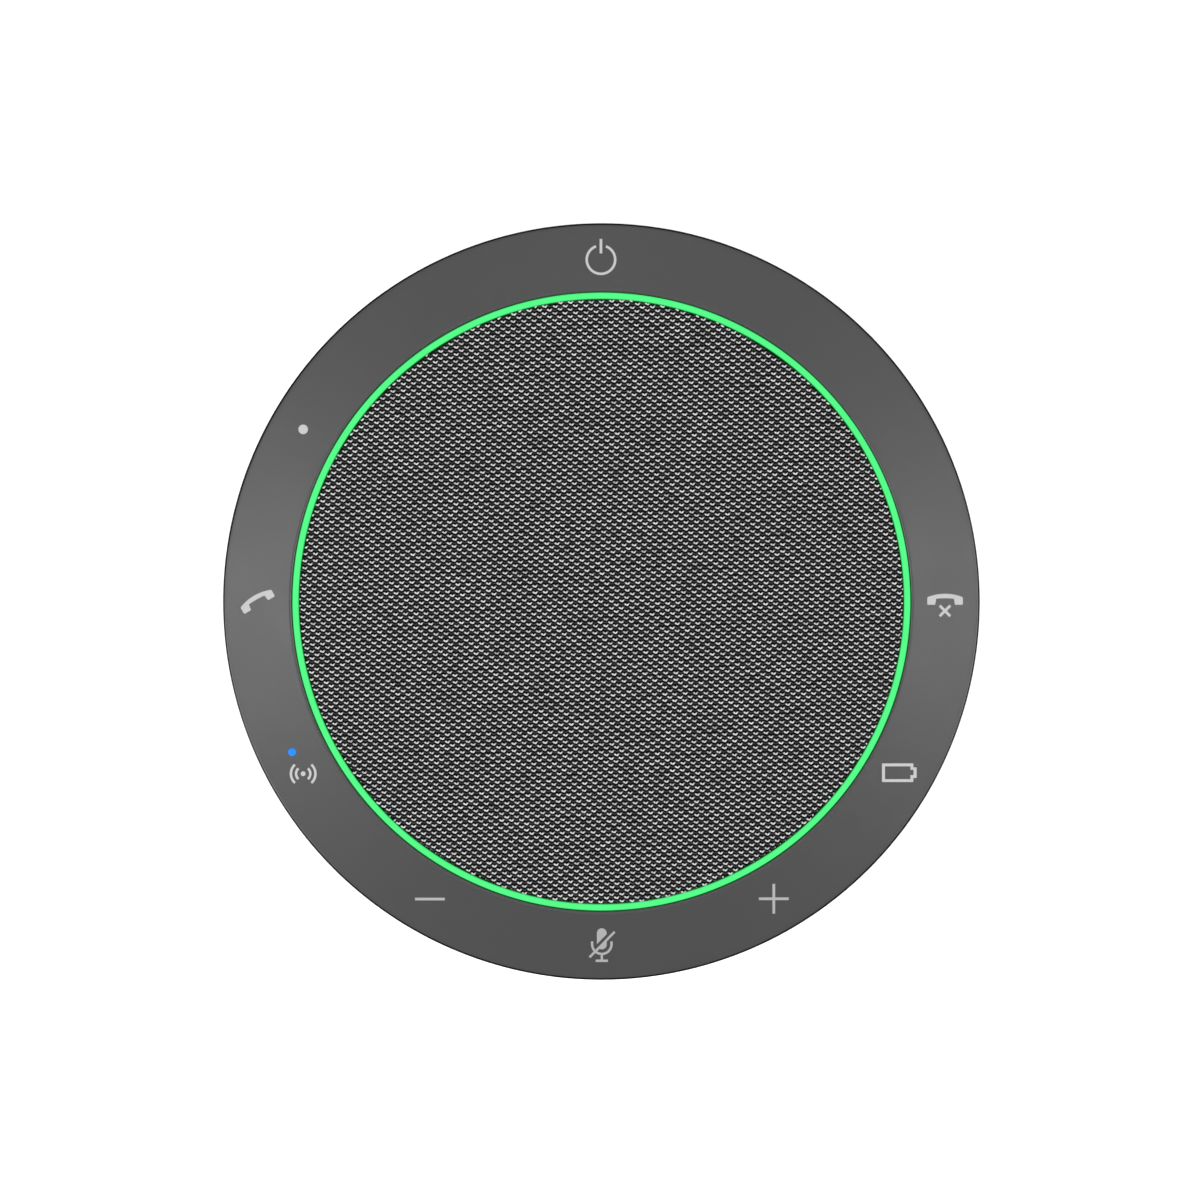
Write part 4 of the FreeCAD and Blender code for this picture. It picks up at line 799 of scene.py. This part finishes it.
def yarn_tube(path, radius):
    """Sections of a yarn: rings square to its path, with no twist."""
    ahead = heading(path)
    side = np.cross(ahead, (0.0, 0.0, 1.0))
    side /= np.linalg.norm(side, axis=1)[:, None]
    rise = np.cross(side, ahead)
    turn = (np.arange(YARN_SIDES) + 0.5) * TAU / YARN_SIDES
    ring = side[:, None] * np.cos(turn)[:, None] + rise[:, None] * np.sin(turn)[:, None]
    return path[:, None] + ring * radius[:, None, None]


def build_knit():
    """All courses of the knit, shared between a few pieces."""
    rows = list(yarn_rows())
    share = sum(len(row[0]) for row in rows) / YARN_BANDS
    bands, filled = [[] for _ in range(YARN_BANDS)], 0.0
    for row in rows:
        bands[min(YARN_BANDS - 1, int(filled / share))].append(row)
        filled += len(row[0])
    for number, band in enumerate(bands):
        points, quads, tones, base = [], [], [], 0
        for path, radius, painted_shade_and_tone in band:
            sections = yarn_tube(path, radius)
            count = len(path)
            near = base + np.arange(count - 1)[:, None] * YARN_SIDES
            far = near + YARN_SIDES
            cols = np.arange(YARN_SIDES)
            after = (cols + 1) % YARN_SIDES
            quads.append(np.stack([near + cols, far + cols, far + after, near + after], -1).reshape(-1, 4))
            for first, order in ((base, 1), (base + (count - 1) * YARN_SIDES, -1)):
                six = first + cols[::order]
                quads.append(np.array([six[[0, 1, 2, 3]], six[[0, 3, 4, 5]]]))
            points.append(sections.reshape(-1, 3))
            tones.append(np.repeat(painted_shade_and_tone, YARN_SIDES))
            base += count * YARN_SIDES
        points, quads = np.concatenate(points), np.concatenate(quads)
        piece = mesh_piece(f"grille_knit_{number + 1}", points, quads, YARN_LOOK, "housing", "knit_fabric")
        point_attribute(piece, "painted_shade_and_tone", np.concatenate(tones))


def build_backing():
    """Scrim under the knit, turned down inside the light ring."""
    top_gap, thickness = 0.58, 0.12
    turned_r, turned_z = 52.8, 29.4
    radii = np.concatenate([np.linspace(0.0, 51.5, 40), np.linspace(51.8, 52.74, 12)])
    upper = [(r, float(dome_z(r)) - top_gap) for r in radii]
    lower = [(max(r - 0.1, 0.0), z - thickness) for r, z in upper]
    hem = [(turned_r, turned_z), (turned_r - 0.1, turned_z)]
    stand_in("grille_scrim", "grille_fabric", *spin(upper + hem + lower[::-1], 240))


# ---- Speaker suspension and snap domes ---------------------------------------------------------
SPIDER_INNER_R, SPIDER_OUTER_R, SPIDER_EDGE_R = 8.0, 15.6, 17.3
SPIDER_Z, SPIDER_LAND_Z = 17.65, 17.05
SURROUND_Z, SURROUND_CENTRE_R, SURROUND_ROLL_R = 25.12, 28.35, 2.0
ROLL_FREE_R, ROLL_FIXED_R = 26.2, 30.5
DOME_R, DOME_RISE, DOME_T, DOME_FOOT_Z = 1.3, 0.62, 0.08, 25.42


def sheet(path, thickness):
    """Closed profile of a sheet of even thickness along a (radius, height) path, running outwards."""
    return np.concatenate([offset_path(path, -thickness / 2), offset_path(path, thickness / 2)[::-1]])


def rim_share(points, inner, outer):
    """1 inside the inner radius and 0 outside the outer one."""
    points = np.asarray(points)
    return 1 - smoothstep((np.hypot(points[:, 0], points[:, 1]) - inner) / (outer - inner))


def build_spider():
    """Corrugated cloth between the voice coil and the basket."""
    folds = 8
    path = []
    for t in np.linspace(0, folds, 16 * folds + 1):
        fade = min(1.0, t, folds - t)
        radius = SPIDER_INNER_R + (SPIDER_OUTER_R - SPIDER_INNER_R) * t / folds
        path.append((radius, SPIDER_Z + 0.22 * fade * math.sin(math.pi * (t - 0.5))))
    path += [(SPIDER_OUTER_R + 0.6, SPIDER_LAND_Z + 0.15), (SPIDER_EDGE_R, SPIDER_LAND_Z + 0.15)]
    points, faces = revolve(sheet(path, 0.3), 180)
    cloth = stand_in("speaker_spider_cloth", "speaker_spider", points, faces, None)
    follow(cloth, "speaker_diaphragm", rim_share(points, SPIDER_INNER_R, SPIDER_OUTER_R))


def build_surround():
    """Half-roll rubber edge between the cone and the basket's flange."""
    middle = SURROUND_Z + 0.2
    path = [(24.3, middle), (25.2, middle), (25.9, middle)]
    path += arc_points((SURROUND_CENTRE_R, SURROUND_Z), SURROUND_ROLL_R, 170, 10, 33)
    path += [(30.8, middle), (31.5, middle), (32.4, middle)]
    points, faces = revolve(sheet(path, 0.4), 240)
    roll = stand_in("speaker_surround_roll", "speaker_surround", points, faces, None)
    follow(roll, "speaker_diaphragm", rim_share(points, ROLL_FREE_R, ROLL_FIXED_R))


def build_domes():
    """Snap dome of each switch, under its key."""
    sphere = (DOME_R**2 + DOME_RISE**2) / (2 * DOME_RISE)
    centre_z = DOME_FOOT_Z + DOME_RISE - sphere
    edge = math.degrees(math.acos(DOME_R / sphere))
    outside = arc_points((0, centre_z), sphere, 90, edge, 12)
    inner_edge = math.degrees(math.asin((DOME_FOOT_Z - centre_z) / (sphere - DOME_T)))
    inside = arc_points((0, centre_z), sphere - DOME_T, inner_edge, 90, 12)
    points, faces = spin(outside + inside, 48)
    points = np.array(points)
    share = np.clip((points[:, 2] - DOME_FOOT_Z) / (DOME_RISE - DOME_T), 0, 1)
    for key, angle in KEY_ANGLES.items():
        spot = points + (*polar(KEY_CENTRE_R, angle), 0)
        follow(stand_in("snap_dome_" + key[4:], "switch_domes", spot, faces, None), key, share)


# ---- Base, cable and plug ----------------------------------------------------------------------
def build_foot():
    """Rubber ring with rounded edges and shallow grip grooves."""
    edge, groove = 0.5, 0.35
    profile = [(FOOT_INNER_R, FOOT_TOP_Z)]
    profile += arc_points((FOOT_INNER_R + edge, edge), edge, 180, 270, 6)
    for middle in (48.6, 51.0, 53.4):
        profile += arc_points((middle, 0.0), groove, 180, 0, 9)
    profile += arc_points((FOOT_OUTER_R - edge, edge), edge, 270, 360, 6)
    profile += [(FOOT_OUTER_R, FOOT_TOP_Z)]
    stand_in("foot_ring_grooved", "foot_ring", *revolve(profile, 480))


def cable_point(angle):
    """Centre of the cable, at an angle past the place where it leaves the wall."""
    inside = smoothstep(1 + angle / CABLE_INSIDE_SWEEP)
    radius = CABLE_INSIDE_R + (CABLE_PATH_R - CABLE_INSIDE_R) * inside
    radius += (CABLE_END_R - CABLE_PATH_R) * smoothstep((angle - CABLE_SWEEP) / CABLE_END_SWEEP + 1)
    climb = smoothstep((angle - CABLE_CLIMB[0]) / (CABLE_CLIMB[1] - CABLE_CLIMB[0]))
    x, y = polar(radius, CABLE_EXIT_ANGLE + angle)
    return x, y, CABLE_LOW_Z + (CABLE_HIGH_Z - CABLE_LOW_Z) * climb


def build_cable():
    """Wound cable: a round jacket, led straight into the plug's tail."""
    path = [cable_point(a) for a in np.linspace(-CABLE_INSIDE_SWEEP, CABLE_SWEEP, 420)]
    path.append((PLUG_X - 0.25, PLUG_TAIL_Y - 0.8, CABLE_HIGH_Z))
    path.append((PLUG_X, PLUG_TAIL_Y + 0.4, CABLE_HIGH_Z))
    path = np.array(path, float)
    ahead = heading(path)
    side = np.cross(ahead, (0.0, 0.0, 1.0))
    rise = np.cross(side, ahead)
    turn = np.arange(CABLE_SIDES) * TAU / CABLE_SIDES
    ring = side[:, None] * np.cos(turn)[:, None] + rise[:, None] * np.sin(turn)[:, None]
    points, faces = loft(path[:, None] + ring * CABLE_R)
    stand_in("usb_cable_wound", "usb_cable", points, [f[::-1] for f in faces])


def plug_section(y):
    """Half width, half thickness and squareness of the plug's grip at a place along it."""
    if y < PLUG_START_Y:
        share = (y - PLUG_TAIL_Y) / (PLUG_START_Y - PLUG_TAIL_Y)
        radius = 1.95 + 0.55 * share
        if share > 0.04:
            radius -= 0.17 * smoothstep(0.5 + 0.9 * math.sin(share * 5 * TAU))
        return radius, radius, 2.0
    start = smoothstep((y - PLUG_START_Y) / 1.3)
    end = smoothstep((PLUG_END_Y - y) / 0.7)
    half_w = 2.5 + (PLUG_W / 2 - 2.5) * start
    half_t = 2.35 + (PLUG_T / 2 - 2.35) * start
    rib = 0.13 * smoothstep(0.5 + math.sin((y - PLUG_START_Y) / 1.7 * TAU)) if -5.5 < y < 5.8 else 0.0
    return half_w - 0.45 * (1 - end), half_t - 0.45 * (1 - end) - rib, 2.0 + 2.4 * start


def build_plug_grip():
    """Overmould with finger ribs and a ringed strain relief where it leaves the cable."""
    around = 64
    turn = np.arange(around) * TAU / around
    relief = np.linspace(PLUG_TAIL_Y, PLUG_START_Y, 70)
    sections = []
    for y in np.concatenate([relief, np.linspace(PLUG_START_Y + 0.1, PLUG_END_Y, 140)]):
        half_w, half_t, power = plug_section(y)
        x = np.sign(np.cos(turn)) * np.abs(np.cos(turn)) ** (2 / power) * half_w
        z = np.sign(np.sin(turn)) * np.abs(np.sin(turn)) ** (2 / power) * half_t
        sections.append(np.column_stack([PLUG_X + x, np.full(around, y), CABLE_HIGH_Z + z]))
    points, faces = loft(np.array(sections))
    grip = stand_in("usb_plug_overmould", "usb_plug_grip", points, [f[::-1] for f in faces], None)
    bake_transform(grip)


# ---- Studio ------------------------------------------------------------------------------------
CAMERA_LENS, SENSOR = 300.0, 36.0
SHIFT_X, SHIFT_Y = -0.00117, 0.0013
FRAME_WIDTH = 210.25 * MM
RIM_Z = 29.65 * MM
FLOOR_COLOR, FLOOR_REACH = (0.93, 0.93, 0.93), 3000.0
WORLD_STRENGTH = 0.95
LIGHT_TARGET = Vector((0, 0, 0.03))
SOFTBOX, KICKER = (0.6, 0.8), (0.12, 0.12)
# Place in metres, size and power in watts of each area light.
LIGHTS = {
    "softbox_left": ((-0.8, -0.25, 0.8), SOFTBOX, 14.0),
    "softbox_right": ((0.8, -0.1, 0.8), SOFTBOX, 11.0),
    "kicker_left": ((-0.27, 0.0, 1.5), KICKER, 1.15),
    "kicker_right": ((0.27, 0.0, 1.5), KICKER, 0.95),
    "kicker_back": ((0.0, 0.27, 1.5), KICKER, 0.17),
}


def area_light(name, place, size, power):
    data = bpy.data.lights.new(name, "AREA")
    data.shape = "RECTANGLE"
    data.size, data.size_y = size
    data.energy = power
    lamp = bpy.data.objects.new(name, data)
    bpy.context.scene.collection.objects.link(lamp)
    lamp.location = place
    lamp.rotation_euler = (LIGHT_TARGET - Vector(place)).to_track_quat("-Z", "Y").to_euler()


def build_studio():
    """Pale floor, even white surroundings, soft lights and a camera straight above."""
    floor_look = Look("studio_floor", FLOOR_COLOR, 0.9)
    cloud = floor_look.ramp(floor_look.noise(400.0), (0.3, 0.985), (0.7, 1.0))
    floor_look.set("Base Color", floor_look.tint(FLOOR_COLOR, cloud))
    reach = FLOOR_REACH
    corners = [(-reach, -reach, 0), (reach, -reach, 0), (reach, reach, 0), (-reach, reach, 0)]
    mesh_piece("studio_floor", corners, [(0, 1, 2, 3)], floor_look.material)

    world = bpy.data.worlds.new("studio")
    world.use_nodes = True
    world.node_tree.nodes["Background"].inputs["Color"].default_value = (1, 1, 1, 1)
    world.node_tree.nodes["Background"].inputs["Strength"].default_value = WORLD_STRENGTH
    bpy.context.scene.world = world
    for name, (place, size, power) in LIGHTS.items():
        area_light(name, place, size, power)

    camera = bpy.data.objects.new("camera", bpy.data.cameras.new("camera"))
    bpy.context.scene.collection.objects.link(camera)
    camera.data.lens, camera.data.sensor_width = CAMERA_LENS, SENSOR
    camera.data.shift_x, camera.data.shift_y = SHIFT_X, SHIFT_Y
    camera.location = (0, 0, RIM_Z + FRAME_WIDTH * CAMERA_LENS / SENSOR)
    camera.data.clip_start, camera.data.clip_end = 0.01, 20
    bpy.context.scene.camera = camera
    bpy.context.scene.view_settings.view_transform = "Standard"


build_ring()
build_icons()
build_lamp()
build_light_ring()
build_knit()
build_backing()
build_spider()
build_surround()
build_domes()
build_foot()
build_cable()
build_plug_grip()
build_studio()
